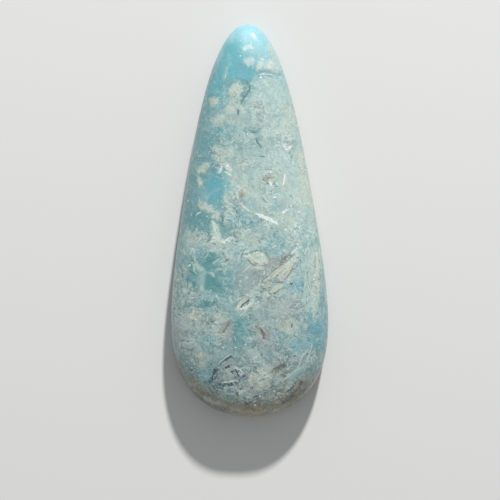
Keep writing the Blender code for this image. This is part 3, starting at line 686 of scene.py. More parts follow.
class Number:
    """A number that flows through a node tree, so that a formula reads as plain arithmetic."""

    def __init__(self, tree, socket):
        self.tree = tree
        self.socket = socket

    def work(self, operation, *values):
        node = self.tree.nodes.new("ShaderNodeMath")
        node.operation = operation
        for socket, value in zip(node.inputs, values):
            feed(self.tree, socket, value)
        return Number(self.tree, node.outputs[0])

    def __add__(self, other):
        return self.work("ADD", self, other)

    def __radd__(self, other):
        return self.work("ADD", other, self)

    def __sub__(self, other):
        return self.work("SUBTRACT", self, other)

    def __rsub__(self, other):
        return self.work("SUBTRACT", other, self)

    def __mul__(self, other):
        return self.work("MULTIPLY", self, other)

    def __rmul__(self, other):
        return self.work("MULTIPLY", other, self)

    def __truediv__(self, other):
        return self.work("DIVIDE", self, other)

    def __rtruediv__(self, other):
        return self.work("DIVIDE", other, self)

    def __pow__(self, other):
        return self.work("POWER", self, other)

    def __mod__(self, other):
        return self.work("FLOORED_MODULO", self, other)

    def __abs__(self):
        return self.work("ABSOLUTE", self)

    def above(self, other):
        return self.work("GREATER_THAN", self, other)

    def sign(self):
        return self.work("SIGN", self)

    def sine(self):
        return self.work("SINE", self)

    def cosine(self):
        return self.work("COSINE", self)

    def root(self):
        return self.work("SQRT", self)

    def at_least(self, other):
        return self.work("MAXIMUM", self, other)

    def at_most(self, other):
        return self.work("MINIMUM", self, other)

    def held(self):
        """Kept between 0 and 1."""
        return self.at_least(0.0).at_most(1.0)

    def step(self, low, high):
        """A smooth step from 0 at low to 1 at high."""
        node = add(
            self.tree,
            "ShaderNodeMapRange",
            {"Value": self, "From Min": low, "From Max": high},
            interpolation_type="SMOOTHSTEP",
        )
        return Number(self.tree, out(node))


def parts_of(tree, vector):
    """The three numbers of a vector."""
    node = add(tree, "ShaderNodeSeparateXYZ", {"Vector": vector})
    return [Number(tree, socket) for socket in node.outputs]


def vector_of(tree, x, y, z):
    """A vector from three numbers."""
    return out(add(tree, "ShaderNodeCombineXYZ", {"X": x, "Y": y, "Z": z}))


def reckon(tree, operation, *vectors):
    """A vector sum, difference or product."""
    node = tree.nodes.new("ShaderNodeVectorMath")
    node.operation = operation
    for socket, value in zip(node.inputs, vectors):
        feed(tree, socket, value)
    return node.outputs["Vector"]


def dotted(tree, first, second):
    """How far one vector reaches along another."""
    feeds = {"Vector": first}
    node = add(tree, "ShaderNodeVectorMath", feeds, operation="DOT_PRODUCT")
    feed(tree, node.inputs[1], second)
    return node.outputs["Value"]


def scaled(tree, vector, share):
    """A vector made longer or shorter."""
    node = add(tree, "ShaderNodeVectorMath", {"Vector": vector, "Scale": share}, operation="SCALE")
    return node.outputs["Vector"]


# Geometry trees

# Edges folded more than this, in radians, stay crisp
SHARPEST_FOLD = 0.7


def new_geometry_tree(name, kinds):
    """A tree with named inputs, each of a kind of socket. Returns it with the inputs by name."""
    tree = bpy.data.node_groups.new(name, "GeometryNodeTree")
    for label, kind in kinds.items():
        tree.interface.new_socket(label, in_out="INPUT", socket_type=kind)
    tree.interface.new_socket("Geometry", in_out="OUTPUT", socket_type="NodeSocketGeometry")
    given = {socket.name: socket for socket in tree.nodes.new("NodeGroupInput").outputs if socket.name}
    return tree, given


def end_tree(tree, geometry, material):
    """Realizes what is left of the instances, gives it its material and ends the tree."""
    real = out(add(tree, "GeometryNodeRealizeInstances", {"Geometry": geometry}))
    smooth = out(add(tree, "GeometryNodeSetShadeSmooth", {"Geometry": real}, domain="FACE"))
    folded = Number(tree, out(add(tree, "GeometryNodeInputMeshEdgeAngle"), "Unsigned Angle")).above(SHARPEST_FOLD)
    feeds = {"Geometry": smooth, "Selection": folded, "Shade Smooth": False}
    smooth = out(add(tree, "GeometryNodeSetShadeSmooth", feeds, domain="EDGE"))
    dressed = out(add(tree, "GeometryNodeSetMaterial", {"Geometry": smooth, "Material": material}))
    tree.links.new(dressed, tree.nodes.new("NodeGroupOutput").inputs[0])


def store(tree, geometry, name, value, kind="FLOAT"):
    """Keeps a value on the points under a name."""
    feeds = {"Geometry": geometry, "Name": name, "Value": value}
    return out(add(tree, "GeometryNodeStoreNamedAttribute", feeds, data_type=kind, domain="POINT"))


def named(tree, name, kind="FLOAT"):
    """A value kept on the points under a name."""
    return out(add(tree, "GeometryNodeInputNamedAttribute", {"Name": name}, data_type=kind))


def grown(name, tree, base, values):
    """Runs a tree on a base mesh and returns what it makes as a plain mesh object."""
    holder = bpy.data.objects.new(name, base)
    bpy.context.scene.collection.objects.link(holder)
    growth = holder.modifiers.new(tree.name, "NODES")
    growth.node_group = tree
    for item in tree.interface.items_tree:
        if item.in_out == "INPUT" and item.name in values:
            growth[item.identifier] = values[item.name]
    ready = holder.evaluated_get(bpy.context.evaluated_depsgraph_get())
    mesh = bpy.data.meshes.new_from_object(ready)
    bpy.data.objects.remove(holder)
    if not mesh.polygons:
        raise RuntimeError(f"{name} came out empty")
    mesh.name = name
    piece = bpy.data.objects.new(name, mesh)
    bpy.context.scene.collection.objects.link(piece)
    return piece


# The stone

# How the places round the wall and back are shared out: the wall ends at the first, the rounded edge at
# the second, and the flat back takes the rest
WALL_END = 0.8
BEVEL_END = 0.4

# Stations crowd towards butt and tip, where the outline turns fastest
STATION_POWER = 1.5

SIZE = "NodeSocketFloat"
COUNT = "NodeSocketInt"
MATERIAL = "NodeSocketMaterial"
COLOUR = "NodeSocketColor"
OBJECT = "NodeSocketObject"
GEOMETRY = "NodeSocketGeometry"

STONE_SIZES = (
    "Length",
    "Width",
    "Thickness",
    "Girdle Height",
    "Back Bevel",
    "Taper",
    "Fullness",
    "Pointedness",
    "Fullest Share",
    "Fullest",
    "Axis Wander",
    "Crown Power",
    "Ridge Power",
    "Wide Warp",
    "Fine Warp",
)


def plumpness(shape, share):
    """Half-width against a plain ellipse's, where share runs from -1 at the butt to 1 at the tip."""
    filled = 1 - shape.taper * share + shape.fullness * share**2 - shape.pointedness * share**3
    return math.sqrt(max(1 - share**2, 0.0)) * filled


def fullest_share(shape):
    """Where the stone is fullest, found on a fine walk along it."""
    walk = 500
    return max((step / walk - 1 for step in range(2 * walk + 1)), key=lambda share: plumpness(shape, share))


def crown_places(size, fraction, width, wander):
    """Place across and height of a point on the crown, at a fraction of the way over it."""
    turn = fraction * math.pi
    across = abs(turn.cosine())
    up = turn.sine().at_least(0.0)
    power = size["Crown Power"]
    reach = (across**power + up**power) ** (-1 / power)
    ridge = (size["Thickness"] - size["Girdle Height"]) * (2 * width / size["Width"]) ** size["Ridge Power"]
    x = wander + turn.cosine().sign() * reach * across * width
    return x, size["Girdle Height"] + ridge * reach * up


def back_places(size, fraction, share, straight, filled, wander):
    """Place of a point on the wall, rounded edge or back, at a fraction of the way round under the stone."""
    outward = abs(2 * fraction - 1)
    side = (fraction - 0.5).sign()
    bevel = size["Back Bevel"]
    bend = ((WALL_END - outward) / (WALL_END - BEVEL_END)).held() * (math.pi / 2)
    wall = ((outward - WALL_END) / (1 - WALL_END)).held()
    inset = bevel * (1 - bend.cosine())
    height = bevel * (1 - bend.sine()) + (size["Girdle Height"] - bevel) * wall

    # The outline's direction at this station, which stays finite at butt and tip
    scale = size["Width"] / 2 / size["Fullest"]
    run = straight * size["Length"] / 2
    bend_in = 2 * size["Fullness"] * share - size["Taper"] - 3 * size["Pointedness"] * share * share
    fall = scale * (straight**2 * bend_in - share * filled)
    length = (run * run + fall * fall).root()
    half = scale * straight * filled - inset * run / length
    x = wander + side * (outward / BEVEL_END).at_most(1.0) * half
    y = share * size["Length"] / 2 + inset * fall / length
    return x, y, height


def stone_tree():
    """The whole stone from a sphere with its poles at butt and tip."""
    kinds = dict.fromkeys(STONE_SIZES, SIZE)
    kinds.update({"Stations": COUNT, "Crown Steps": COUNT, "Back Steps": COUNT, "Material": MATERIAL})
    tree, given = new_geometry_tree("Teardrop Stone", kinds)
    size = {name: Number(tree, given[name]) for name in STONE_SIZES}
    crown_steps, back_steps = (Number(tree, given[name]) for name in ("Crown Steps", "Back Steps"))
    steps = crown_steps + back_steps
    feeds = {"Segments": steps, "Rings": given["Stations"], "Radius": 1.0}
    ball = out(add(tree, "GeometryNodeMeshUVSphere", feeds), "Mesh")
    x, y, z = parts_of(tree, out(add(tree, "GeometryNodeInputPosition")))

    station = z.work("ARCCOSINE", z) * (2 / math.pi) - 1
    share = station.sign() * (1 - (1 - abs(station)).at_least(0.0) ** STATION_POWER)
    straight = (1 - share * share).at_least(0.0).root()
    filled = 1 - size["Taper"] * share + share * share * (size["Fullness"] - size["Pointedness"] * share)
    width = size["Width"] / 2 / size["Fullest"] * straight * filled
    quarter = math.pi / 2
    wander = size["Axis Wander"] * ((size["Fullest Share"] * quarter).sine() - (share * quarter).sine())

    fraction = (y.work("ARCTAN2", y, x) / math.tau) % 1.0
    crown_part = crown_steps / steps
    crown_x, crown_z = crown_places(size, (fraction / crown_part).at_most(1.0), width, wander)
    beyond = ((fraction - crown_part) / (1 - crown_part)).held()
    back_x, back_y, back_z = back_places(size, beyond, share, straight, filled, wander)
    under = fraction.above(crown_part + 1e-4)
    crown_y = share * size["Length"] / 2
    place = vector_of(
        tree,
        crown_x + (back_x - crown_x) * under,
        crown_y + (back_y - crown_y) * under,
        crown_z + (back_z - crown_z) * under,
    )
    stone = out(add(tree, "GeometryNodeSetPosition", {"Geometry": ball, "Position": place}))
    for name in ("Wide Warp", "Fine Warp"):
        swirl = add(tree, "ShaderNodeTexNoise", {"Scale": 1 / size[name], "Detail": 3.0})
        stone = store(tree, stone, name, out(swirl, "Color"), "FLOAT_VECTOR")
    end_tree(tree, stone, given["Material"])
    return tree


def places_of(mesh):
    """The mesh's points as rows of an array."""
    flat = np.empty(len(mesh.vertices) * 3, np.float32)
    mesh.vertices.foreach_get("co", flat)
    return flat.reshape(-1, 3).astype(float)


def kept_vector(mesh, name):
    """A vector kept on each of the mesh's points, as rows of an array."""
    flat = np.empty(len(mesh.vertices) * 3, np.float32)
    mesh.attributes[name].data.foreach_get("vector", flat)
    return flat.reshape(-1, 3).astype(float)


def keep(mesh, name, values):
    """Keeps a number on each of the mesh's points under a name."""
    layer = mesh.attributes.new(name, "FLOAT", "POINT")
    layer.data.foreach_set("value", values.astype(np.float32))


def keep_tints(mesh, tints):
    """Keeps a colour on each of the mesh's points."""
    layer = mesh.attributes.new("tint", "FLOAT_COLOR", "POINT")
    opaque_tints = np.ones((len(tints), 4), np.float32)
    opaque_tints[:, :3] = tints
    layer.data.foreach_set("color", opaque_tints.ravel())


def smooth_step(values):
    held = np.clip(values, 0.0, 1.0)
    return held * held * (3 - 2 * held)


def spot(places, across, along, wide, long, turn, edge):
    """1 inside a turned ellipse and 0 outside it, passing through a half on its rim over an edge."""
    angle = math.radians(turn)
    x, y = places[:, 0] - across, places[:, 1] - along
    u = (x * math.cos(angle) + y * math.sin(angle)) / (wide / 2)
    v = (y * math.cos(angle) - x * math.sin(angle)) / (long / 2)
    return smooth_step((1 - np.hypot(u, v)) / edge + 0.5)


def spots_over(places, rows, edge):
    """The strongest of several named spots at each place."""
    strongest = np.zeros(len(places))
    for name, across, along, wide, long, turn, strength in rows:
        strongest = np.maximum(strongest, strength * spot(places, across, along, wide, long, turn, edge))
    return strongest


def grain_over(places):
    """Direction of the silky fibres at each place, in degrees from +X."""
    total = np.full(len(places), 1e-6)
    turned = total * 45
    for name, across, along, reach, direction in SPRAYS:
        weight = np.exp(-((places[:, 0] - across) ** 2 + (places[:, 1] - along) ** 2) / reach**2)
        total += weight
        turned += weight * direction
    for name, tint, breadth, line in BLADES + BUNDLES:
        run = np.subtract(line[-1], line[0])
        direction = math.degrees(math.atan2(run[1], run[0]))
        weight = 6 * near_line(places, line, 1.6 * breadth + 0.5)
        total += weight
        turned += weight * (direction + 180 if direction < -60 else direction)
    return turned / total


def near_line(places, line, reach):
    """1 on a line of straight runs, falling to 0 at its reach."""
    closest = np.full(len(places), reach)
    for start, end in zip(line, line[1:]):
        run = np.subtract(end, start)
        off = places - start
        share = np.clip(off @ run / (run @ run), 0, 1)
        off -= share[:, None] * run
        closest = np.minimum(closest, np.hypot(off[:, 0], off[:, 1]))
    return smooth_step(1 - closest / reach)


class Coat:
    """Layers of paint laid over each other on the stone's points."""

    def __init__(self, count):
        self.cover = np.zeros(count)
        self.tint = np.zeros((count, 3))

    def lay(self, cover, tint):
        """Lays one more colour, as thick at each point as its cover."""
        self.cover = 1 - (1 - self.cover) * (1 - cover)
        blend = (cover / np.maximum(self.cover, 1e-6))[:, None]
        self.tint += (np.array(tint) - self.tint) * blend


def inside(places, outline):
    """How far inside an outline each place lies, and less than 0 outside it."""
    closest = np.full(len(places), np.inf)
    within = np.zeros(len(places), bool)
    for start, end in zip(outline, outline[1:] + outline[:1]):
        run = np.subtract(end, start)
        off = places - start
        share = np.clip(off @ run / (run @ run), 0, 1)
        off -= share[:, None] * run
        closest = np.minimum(closest, np.hypot(off[:, 0], off[:, 1]))
        crosses = (start[1] > places[:, 1]) != (end[1] > places[:, 1])
        if run[1]:
            within ^= crosses & (places[:, 0] < start[0] + (places[:, 1] - start[1]) * run[0] / run[1])
    return np.where(within, closest, -closest)


def patch_cover(places, outline, softness):
    """1 well inside an outline and 0 well outside it, passing through a half on the outline."""
    low, high = np.min(outline, axis=0) - softness, np.max(outline, axis=0) + softness
    near = np.all((places > low) & (places < high), axis=1)
    cover = np.zeros(len(places))
    cover[near] = smooth_step(0.5 + 0.5 * inside(places[near], outline) / softness)
    return cover


def line_cover(places, breadth, line, softness):
    """1 along a line, falling to 0 beyond its breadth."""
    return near_line(places, line, breadth * 0.5 + softness) * min(1, breadth / 0.2)


def seam_cover(places):
    """How near each place is to a dark seam."""
    cover = np.zeros(len(places))
    for name, tint, breadth, line in SEAMS:
        cover = np.maximum(cover, line_cover(places, breadth, line, 0.12))
    return cover


def patches_cover(places, rows):
    """How far each place is covered by any of the outlined patches."""
    cover = np.zeros(len(places))
    for _, _, share, softness, outline in rows:
        cover = np.maximum(cover, share * patch_cover(places, outline, softness))
    return cover


def paint_stone(places, colours):
    """The washes and clumps, then the blades, stains and seams over them."""
    coat = Coat(len(places))
    for name, tint, share, softness, outline in WASHES + CLUMPS:
        coat.lay(share * patch_cover(places, outline, softness), getattr(colours, tint))
    for rows, softness, share in ((BLADES, 0.15, 0.5), (STAINS, 0.35, 0.7), (SEAMS, 0.14, 0.9)):
        for name, tint, breadth, line in rows:
            coat.lay(share * line_cover(places, breadth, line, softness), getattr(colours, tint))
    return coat


def uneven_crown(mesh, shape, low):
    """Lifts and lowers the crown a little, as hand grinding does, and sinks its plucked pockets."""
    places = places_of(mesh)
    crown = places[:, 2] > shape.girdle_height + 1e-6
    rise = np.clip((places[:, 2] - shape.girdle_height) / (shape.thickness - shape.girdle_height), 0, 1)
    waves = [noise.noise(Vector((x, y, 0.0)) / (5.0 * MM)) for x, y in places[crown, :2]]
    places[crown, 2] += shape.uneven_depth * np.array(waves) * rise[crown]
    flat = places[:, :2] / MM
    for across, along, long, wide, depth, turn in POCKETS:
        hollow = spot(flat, across, along, long * 1.1, wide * 1.25, turn, 0.9) * crown
        places[:, 2] -= depth * MM * hollow
    mesh.vertices.foreach_set("co", places.astype(np.float32).ravel())
    mesh.update()
    return places


# How far swirls push the edges of the markings, in millimetres
POOL_SWIRL = (3.6, 1.4)
CLOUD_SWIRL = (1.2, 1.3)

# The washes that stand for clear stone, free of fibres
CLEAR_TINTS = ("lagoon", "blue", "teal")


def mark_stone(mesh, shape, colours):
    """Keeps how much of each colour shows at each point, and which way the fibres lie."""
    places = uneven_crown(mesh, shape, LOW)
    flat = places[:, :2] / MM
    wide = kept_vector(mesh, "Wide Warp")[:, :2] - 0.5
    fine = kept_vector(mesh, "Fine Warp")[:, :2] - 0.5
    pool_places = flat + wide * POOL_SWIRL[0] + fine * POOL_SWIRL[1]
    cloud_places = flat + wide * CLOUD_SWIRL[0] + fine * CLOUD_SWIRL[1]
    pools = spots_over(pool_places, [row[:-1] for row in POOLS], 0.9)
    blue = spots_over(pool_places, [(*row[:-2], row[-1]) for row in POOLS], 0.9)
    keep(mesh, "pool", pools)
    keep(mesh, "blueness", np.clip(blue, 0, 1))
    keep(mesh, "milk", spots_over(pool_places, MILKS, 1.2))
    keep(mesh, "cream", spots_over(cloud_places, CLOUDS, 0.45))
    crooked = flat + wide * 0.5 + fine * 0.8
    coat = paint_stone(crooked, colours)
    keep(mesh, "painted", coat.cover)
    keep_tints(mesh, coat.tint)
    keep(mesh, "sunk", seam_cover(crooked))
    clumped = patches_cover(crooked, CLUMPS)
    clear = np.maximum(pools, patches_cover(crooked, [row for row in WASHES if row[1] in CLEAR_TINTS]))
    clear *= 1 - clumped
    keep(mesh, "clumped", clumped)
    along = flat[:, 1]
    keep(mesh, "tip", smooth_step((along - 14.2) / 8.0))
    keep(mesh, "ash", smooth_step((-3.8 - along) / 18.0))
    # The olive band round the butt: partly the rind's own colour, partly painted shade where the butt turns away
    # from the key light
    rim = np.hypot(flat[:, 0] / 9.2, (along + 12.3) / 10.6)
    rim = smooth_step((rim + 0.3 * wide[:, 0] - 0.76) / 0.14) * smooth_step((-16.8 - along) / 3.0)
    keep(mesh, "shaded_rind", rim)
    keep(mesh, "calm", smooth_step((along + 6.0) / 14.0))
    keep(mesh, "grain", np.radians(grain_over(flat)))
    felt = 0.25 + 0.75 * smooth_step((18.7 - along) / 6.0)
    felt *= (1 - 0.97 * clear) * (1 - 0.6 * rim)
    felt *= smooth_step((places[:, 2] / MM - 0.8) / 1.5)
    felt *= 1 - 0.6 * smooth_step((-4.5 - flat[:, 0]) / 2.5)
    keep(mesh, "felt", np.clip(felt, 0, 1))
    torn = smooth_step((8.0 - along) / 14.0) * (1 - 0.95 * clear) * (1 - 0.9 * rim)
    torn *= smooth_step((places[:, 2] / MM - 1.8) / 1.5) * (1 - clumped)
    keep(mesh, "torn", np.clip(torn, 0, 1))


# Materials


def new_material(name):
    """A material with its tree and its one shader."""
    material = bpy.data.materials.new(name)
    material.use_nodes = True
    tree = material.node_tree
    return material, tree, tree.nodes["Principled BSDF"]


def kept_number(tree, name):
    """A number kept on the surface under a name."""
    return Number(tree, out(add(tree, "ShaderNodeAttribute", attribute_name=name), "Fac"))


def clouds(tree, place, pitch, detail=4.0, roughness=0.55, warp=0.0):
    """Soft noise of a pitch."""
    feeds = {"Vector": place, "Scale": 1 / pitch, "Detail": detail, "Roughness": roughness, "Distortion": warp}
    return Number(tree, out(add(tree, "ShaderNodeTexNoise", feeds), "Fac"))


def mix(tree, share, first, second):
    """A colour between two, by share."""
    feeds = {"Factor": share, "A": opaque(first), "B": opaque(second)}
    return out(add(tree, "ShaderNodeMix", feeds, data_type="RGBA"))


def opaque(value):
    """A plain colour with its alpha, or a socket as it is."""
    return value if isinstance(value, bpy.types.NodeSocket) else (*value, 1.0)


def sheaf_places(tree, place, cell, spread, shift):
    """Places in small sheaves of fibres, each turned its own way about the grain, and a chance for each."""
    moved = reckon(tree, "ADD", place, (shift * MM,) * 3)
    sheaf = add(tree, "ShaderNodeTexVoronoi", {"Vector": moved, "Scale": 1 / cell})
    chances = out(sheaf, "Color")
    turn, tilt, other = parts_of(tree, chances)
    local = reckon(tree, "SUBTRACT", moved, out(sheaf, "Position"))
    angle = -1 * kept_number(tree, "grain") + (turn - 0.5) * spread
    feeds = {"Vector": local, "Angle": angle}
    lying = out(add(tree, "ShaderNodeVectorRotate", feeds, rotation_type="Z_AXIS"))
    feeds = {"Vector": lying, "Angle": (tilt - 0.5) * 1.0}
    tilted = out(add(tree, "ShaderNodeVectorRotate", feeds, rotation_type="Y_AXIS"))
    return tilted, chances


def drawn_out(tree, place, chances, width, length):
    """Places stretched along the fibres, and parted from one sheaf to the next."""
    drawn = reckon(tree, "MULTIPLY", place, (1 / length, 1 / width, 1 / width))
    return reckon(tree, "ADD", drawn, reckon(tree, "MULTIPLY", chances, (57.0, 91.0, 73.0)))


def streaks(tree, place, cell, width, length, spread, shift):
    """Soft streaks that lie along the grain in small sheaves."""
    lying, chances = sheaf_places(tree, place, cell, spread, shift)
    return clouds(tree, drawn_out(tree, lying, chances, width, length), 1.0, detail=3.0)


def crumpled(tree, place, pitch, reach):
    """Places pushed about by swirls of a pitch, by up to about half their reach."""
    swirl = out(add(tree, "ShaderNodeTexNoise", {"Vector": place, "Scale": 1 / pitch, "Detail": 2.0}), "Color")
    return reckon(tree, "ADD", place, scaled(tree, reckon(tree, "SUBTRACT", swirl, (0.5,) * 3), reach))


def chips(tree, place, cell, width, length, spread, shift):
    """Small flat grains that lie along the fibres: a chance for each grain, and the height of its middle."""
    lying, chances = sheaf_places(tree, place, cell, spread, shift)
    feeds = {"Vector": drawn_out(tree, lying, chances, width, length), "Scale": 1.0}
    grain = add(tree, "ShaderNodeTexVoronoi", feeds)
    own = parts_of(tree, out(grain, "Color"))[0]
    return own, 1 - Number(tree, out(grain, "Distance"))


def creases(tree, place, cell, width):
    """Thin broken lines between crumpled grains of a size."""
    swirl = out(add(tree, "ShaderNodeTexNoise", {"Vector": place, "Scale": 2.2 / cell, "Detail": 3.0}), "Color")
    bent = reckon(tree, "ADD", place, scaled(tree, reckon(tree, "SUBTRACT", swirl, (0.5,) * 3), 1.3 * cell))
    feeds = {"Vector": bent, "Scale": 1 / cell}
    grains = add(tree, "ShaderNodeTexVoronoi", feeds, feature="DISTANCE_TO_EDGE")
    lines = (1 - Number(tree, out(grains, "Distance")) * cell / width).held()
    return lines * clouds(tree, place, 1.4 * cell, detail=2.0).step(0.44, 0.60)


def larimar_material(colours):
    """Polished larimar: pools of clear blue under felted milky fibres, with cream clouds and an olive rind that is
    partly painted shade at the butt.
    """
    material, tree, shader = new_material("larimar_polished")
    place = out(add(tree, "ShaderNodeTexCoord"), "Object")
    pool, blueness, milk, cream = (kept_number(tree, name) for name in ("pool", "blueness", "milk", "cream"))
    tip, ash, shaded_rind, calm = (kept_number(tree, name) for name in ("tip", "ash", "shaded_rind", "calm"))
    painted, clumped, sunk = (kept_number(tree, name) for name in ("painted", "clumped", "sunk"))
    paint = out(add(tree, "ShaderNodeAttribute", attribute_name="tint"), "Color")
    drift = clouds(tree, place, 4.5 * MM, detail=3.0)
    warmth = clouds(tree, place, 2.1 * MM, detail=4.0, roughness=0.6, warp=0.5)
    patches = clouds(tree, place, 2.6 * MM, detail=3.0, roughness=0.55, warp=1.2)
    mottle = clouds(tree, place, 1.0 * MM, detail=5.0, roughness=0.6, warp=0.9)
    crumbs = clouds(tree, place, 0.26 * MM, detail=3.0, roughness=0.65)
    silk = streaks(tree, place, 1.6 * MM, 0.16 * MM, 0.9 * MM, 3.2, 0.0)
    fuzz = streaks(tree, place, 0.8 * MM, 0.09 * MM, 0.4 * MM, 6.0, 31.0)
    tone, facet = chips(tree, place, 1.1 * MM, 0.17 * MM, 0.34 * MM, 5.0, 17.0)
    bent = crumpled(tree, place, 0.9 * MM, 1.1 * MM)
    plate, slab = chips(tree, bent, 2.2 * MM, 0.40 * MM, 0.9 * MM, 4.0, 53.0)
    # Creases between the crumpled grains, dark in the middle: partly dark joints, partly painted shade
    shaded_crease = creases(tree, place, 0.9 * MM, 0.10 * MM).at_least(0.7 * creases(tree, place, 0.45 * MM, 0.07 * MM))
    # A copy of the creases shifted towards the key light: a painted highlight on their lit side
    toward_the_key = reckon(tree, "ADD", place, (0.05 * MM, 0.10 * MM, 0.0))
    ridge = creases(tree, toward_the_key, 0.9 * MM, 0.12 * MM).at_least(0.7 * creases(tree, toward_the_key, 0.45 * MM, 0.08 * MM))
    clear = (1 - tip) * (1 - 0.65 * pool)
    busy = (0.25 + 0.75 * clouds(tree, place, 2.8 * MM, detail=3.0).step(0.40, 0.62)) * clear * (1 - 0.4 * calm)

    ground = mix(tree, (2.6 * (drift - 0.35)).held(), colours.aqua, tuple(0.76 * part for part in colours.aqua))
    ground = mix(tree, tip, ground, colours.sky)
    ground = mix(tree, (0.5 * ash).held(), ground, colours.ash)
    deep = mix(tree, blueness, colours.teal, colours.blue)
    ground = mix(tree, (pool * (0.8 + 1.6 * (mottle - 0.45))).held(), ground, deep)
    stir = (2.6 * (patches - 0.5) + 1.8 * (mottle - 0.5)) * (1 - 0.55 * milk) * (1 - 0.35 * calm)
    felt = milk * (1 - 0.8 * pool) + (1 - tip) * (1 - 0.6 * pool) * stir
    felt = (felt + (0.35 + 0.5 * ash) * (plate - 0.5) + 0.4 * (silk - 0.5)).held()
    warm = ((warmth - 0.40) * 3.0 + 0.4 * (plate - 0.5)).held()
    milky = mix(tree, ash * 0.7, mix(tree, warm, colours.milk, colours.sand), colours.dust)
    milky = mix(tree, ash * (warmth - 0.5).step(0.0, 0.12) * 0.6, milky, colours.rose)
    ground = mix(tree, felt * 0.9, ground, milky)
    cloud = cream + cream * (0.8 * (mottle - 0.5) + 1.1 * (crumbs - 0.5) + 0.6 * (tone - 0.5))
    cloud = cloud.step(0.25, 0.95)
    creamy = mix(tree, (crumbs * 1.6 - 0.5).held(), milky, colours.cream)
    ground = mix(tree, cloud * 0.8, ground, creamy)

    # Painted shade: olive darkens the butt, which turns away from the key light; partly the rind's own colour
    ground = mix(tree, (shaded_rind * (0.9 + 1.6 * (mottle - 0.5))).held(), ground, colours.olive)
    ground = mix(tree, (painted * (1.1 + 0.7 * (crumbs - 0.5) + 0.6 * (mottle - 0.5))).held(), ground, paint)
    shade = 0.9 * (crumbs - 0.5) + 0.30 * (tone - 0.5) + (0.3 + 0.5 * ash) * (plate - 0.5) + 0.5 * (silk - 0.5) + 0.4 * (fuzz - 0.5)
    ground = scaled(tree, ground, 1 + shade * (0.2 + 0.8 * busy))
    # Paler: pale fibres and grains, and the painted highlight on the lit side of the creases
    pale = (fuzz - 0.56).step(0.0, 0.12) * 0.35 + (tone - 0.88).step(0.0, 0.06) * 0.35 + ridge * (0.2 + 0.35 * ash)
    ground = mix(tree, (pale * busy).held(), ground, colours.silk)
    # Darker: dark fibres and grains, and the creases, partly painted shade
    dim = (0.42 - fuzz).step(0.0, 0.12) * 0.25 + (0.10 - tone).step(0.0, 0.06) * 0.4 + shaded_crease * (0.45 + 0.4 * ash)
    ground = mix(tree, (dim * (0.1 + 0.9 * busy)).held(), ground, colours.slate)
    feed(tree, shader.inputs["Base Color"], ground)

    feed(tree, shader.inputs["Roughness"], 0.50)
    feed(tree, shader.inputs["IOR"], 1.61)
    feed(tree, shader.inputs["Specular IOR Level"], 0.35)
    feed(tree, shader.inputs["Coat Weight"], 0.45)
    feed(tree, shader.inputs["Coat Roughness"], 0.09)
    feed(tree, shader.inputs["Subsurface Weight"], 0.08)
    feed(tree, shader.inputs["Subsurface Radius"], (0.5, 0.9, 1.0))
    feed(tree, shader.inputs["Subsurface Scale"], 0.5 * MM)
    relief = silk * 0.4 + fuzz * 0.3 + facet * 0.35 + slab * 0.4 + crumbs * 0.6 + mottle * 0.8 - shaded_crease * 0.6
    height = relief * (0.1 + 0.9 * busy) + cloud * 0.5 + clumped * 0.5 - 0.5 * sunk
    feeds = {"Strength": 0.8, "Distance": 0.06 * MM, "Height": height}
    feed(tree, shader.inputs["Normal"], out(add(tree, "ShaderNodeBump", feeds)))
    return material


def crystal_material(name, paler, roughness):
    """Thin crystals laid in the stone in their own colours, streaked paler along their length."""
    material, tree, shader = new_material(name)
    tone, across, run, ash = (kept_number(tree, name) for name in ("tone", "across", "run", "ash"))
    tint = out(add(tree, "ShaderNodeAttribute", attribute_name="tint"), "Color")
    along = vector_of(tree, run / (0.9 * MM), across * 1.6, tone * 40.0)
    streak = clouds(tree, along, 1.0, detail=4.0, roughness=0.65)
    shade = (0.80 + 0.25 * tone + 0.9 * (streak - 0.5)) * (1 - 0.25 * ash)
    ground = scaled(tree, tint, shade)
    ground = mix(tree, ((streak - 0.55) * 2.5).held() * 0.3, ground, paler)
    feed(tree, shader.inputs["Base Color"], ground)
    feed(tree, shader.inputs["Roughness"], roughness)
    feed(tree, shader.inputs["IOR"], 1.61)
    feed(tree, shader.inputs["Coat Weight"], 0.35)
    feed(tree, shader.inputs["Coat Roughness"], 0.08)
    return material


# Crystals, fibres and seams that lie in the crown


def chance(tree, low, high, seed):
    """A random number for each item, always the same for a seed."""
    return Number(tree, out(add(tree, "FunctionNodeRandomValue", {"Min": low, "Max": high, "Seed": seed})))


def skin_under(tree, stone):
    """The nearest place on the stone's skin, and which way the skin faces there."""
    position = out(add(tree, "GeometryNodeInputPosition"))
    nearest = out(add(tree, "GeometryNodeProximity", {"Geometry": stone, "Sample Position": position}), "Position")
    feeds = {"Mesh": stone, "Value": out(add(tree, "GeometryNodeInputNormal")), "Sample Position": position}
    facing = out(add(tree, "GeometryNodeSampleNearestSurface", feeds, data_type="FLOAT_VECTOR"))
    return nearest, facing


def laid_on(tree, geometry, stone, flatness, sink):
    """Presses a realized shape into the stone's skin, keeping only a little of its height."""
    nearest, facing = skin_under(tree, stone)
    off = reckon(tree, "SUBTRACT", out(add(tree, "GeometryNodeInputPosition")), nearest)
    height = Number(tree, dotted(tree, off, facing)) * flatness - sink
    place = reckon(tree, "ADD", nearest, scaled(tree, facing, height))
    return out(add(tree, "GeometryNodeSetPosition", {"Geometry": geometry, "Position": place}))


def standing(tree, facing, heading):
    """A turn that stands a shape's Z along the way it faces, with its X along a heading."""
    upright = out(add(tree, "FunctionNodeAlignRotationToVector", {"Vector": facing}, axis="Z"))
    feeds = {"Rotation": upright, "Vector": heading}
    return out(add(tree, "FunctionNodeAlignRotationToVector", feeds, axis="X", pivot_axis="Z"))


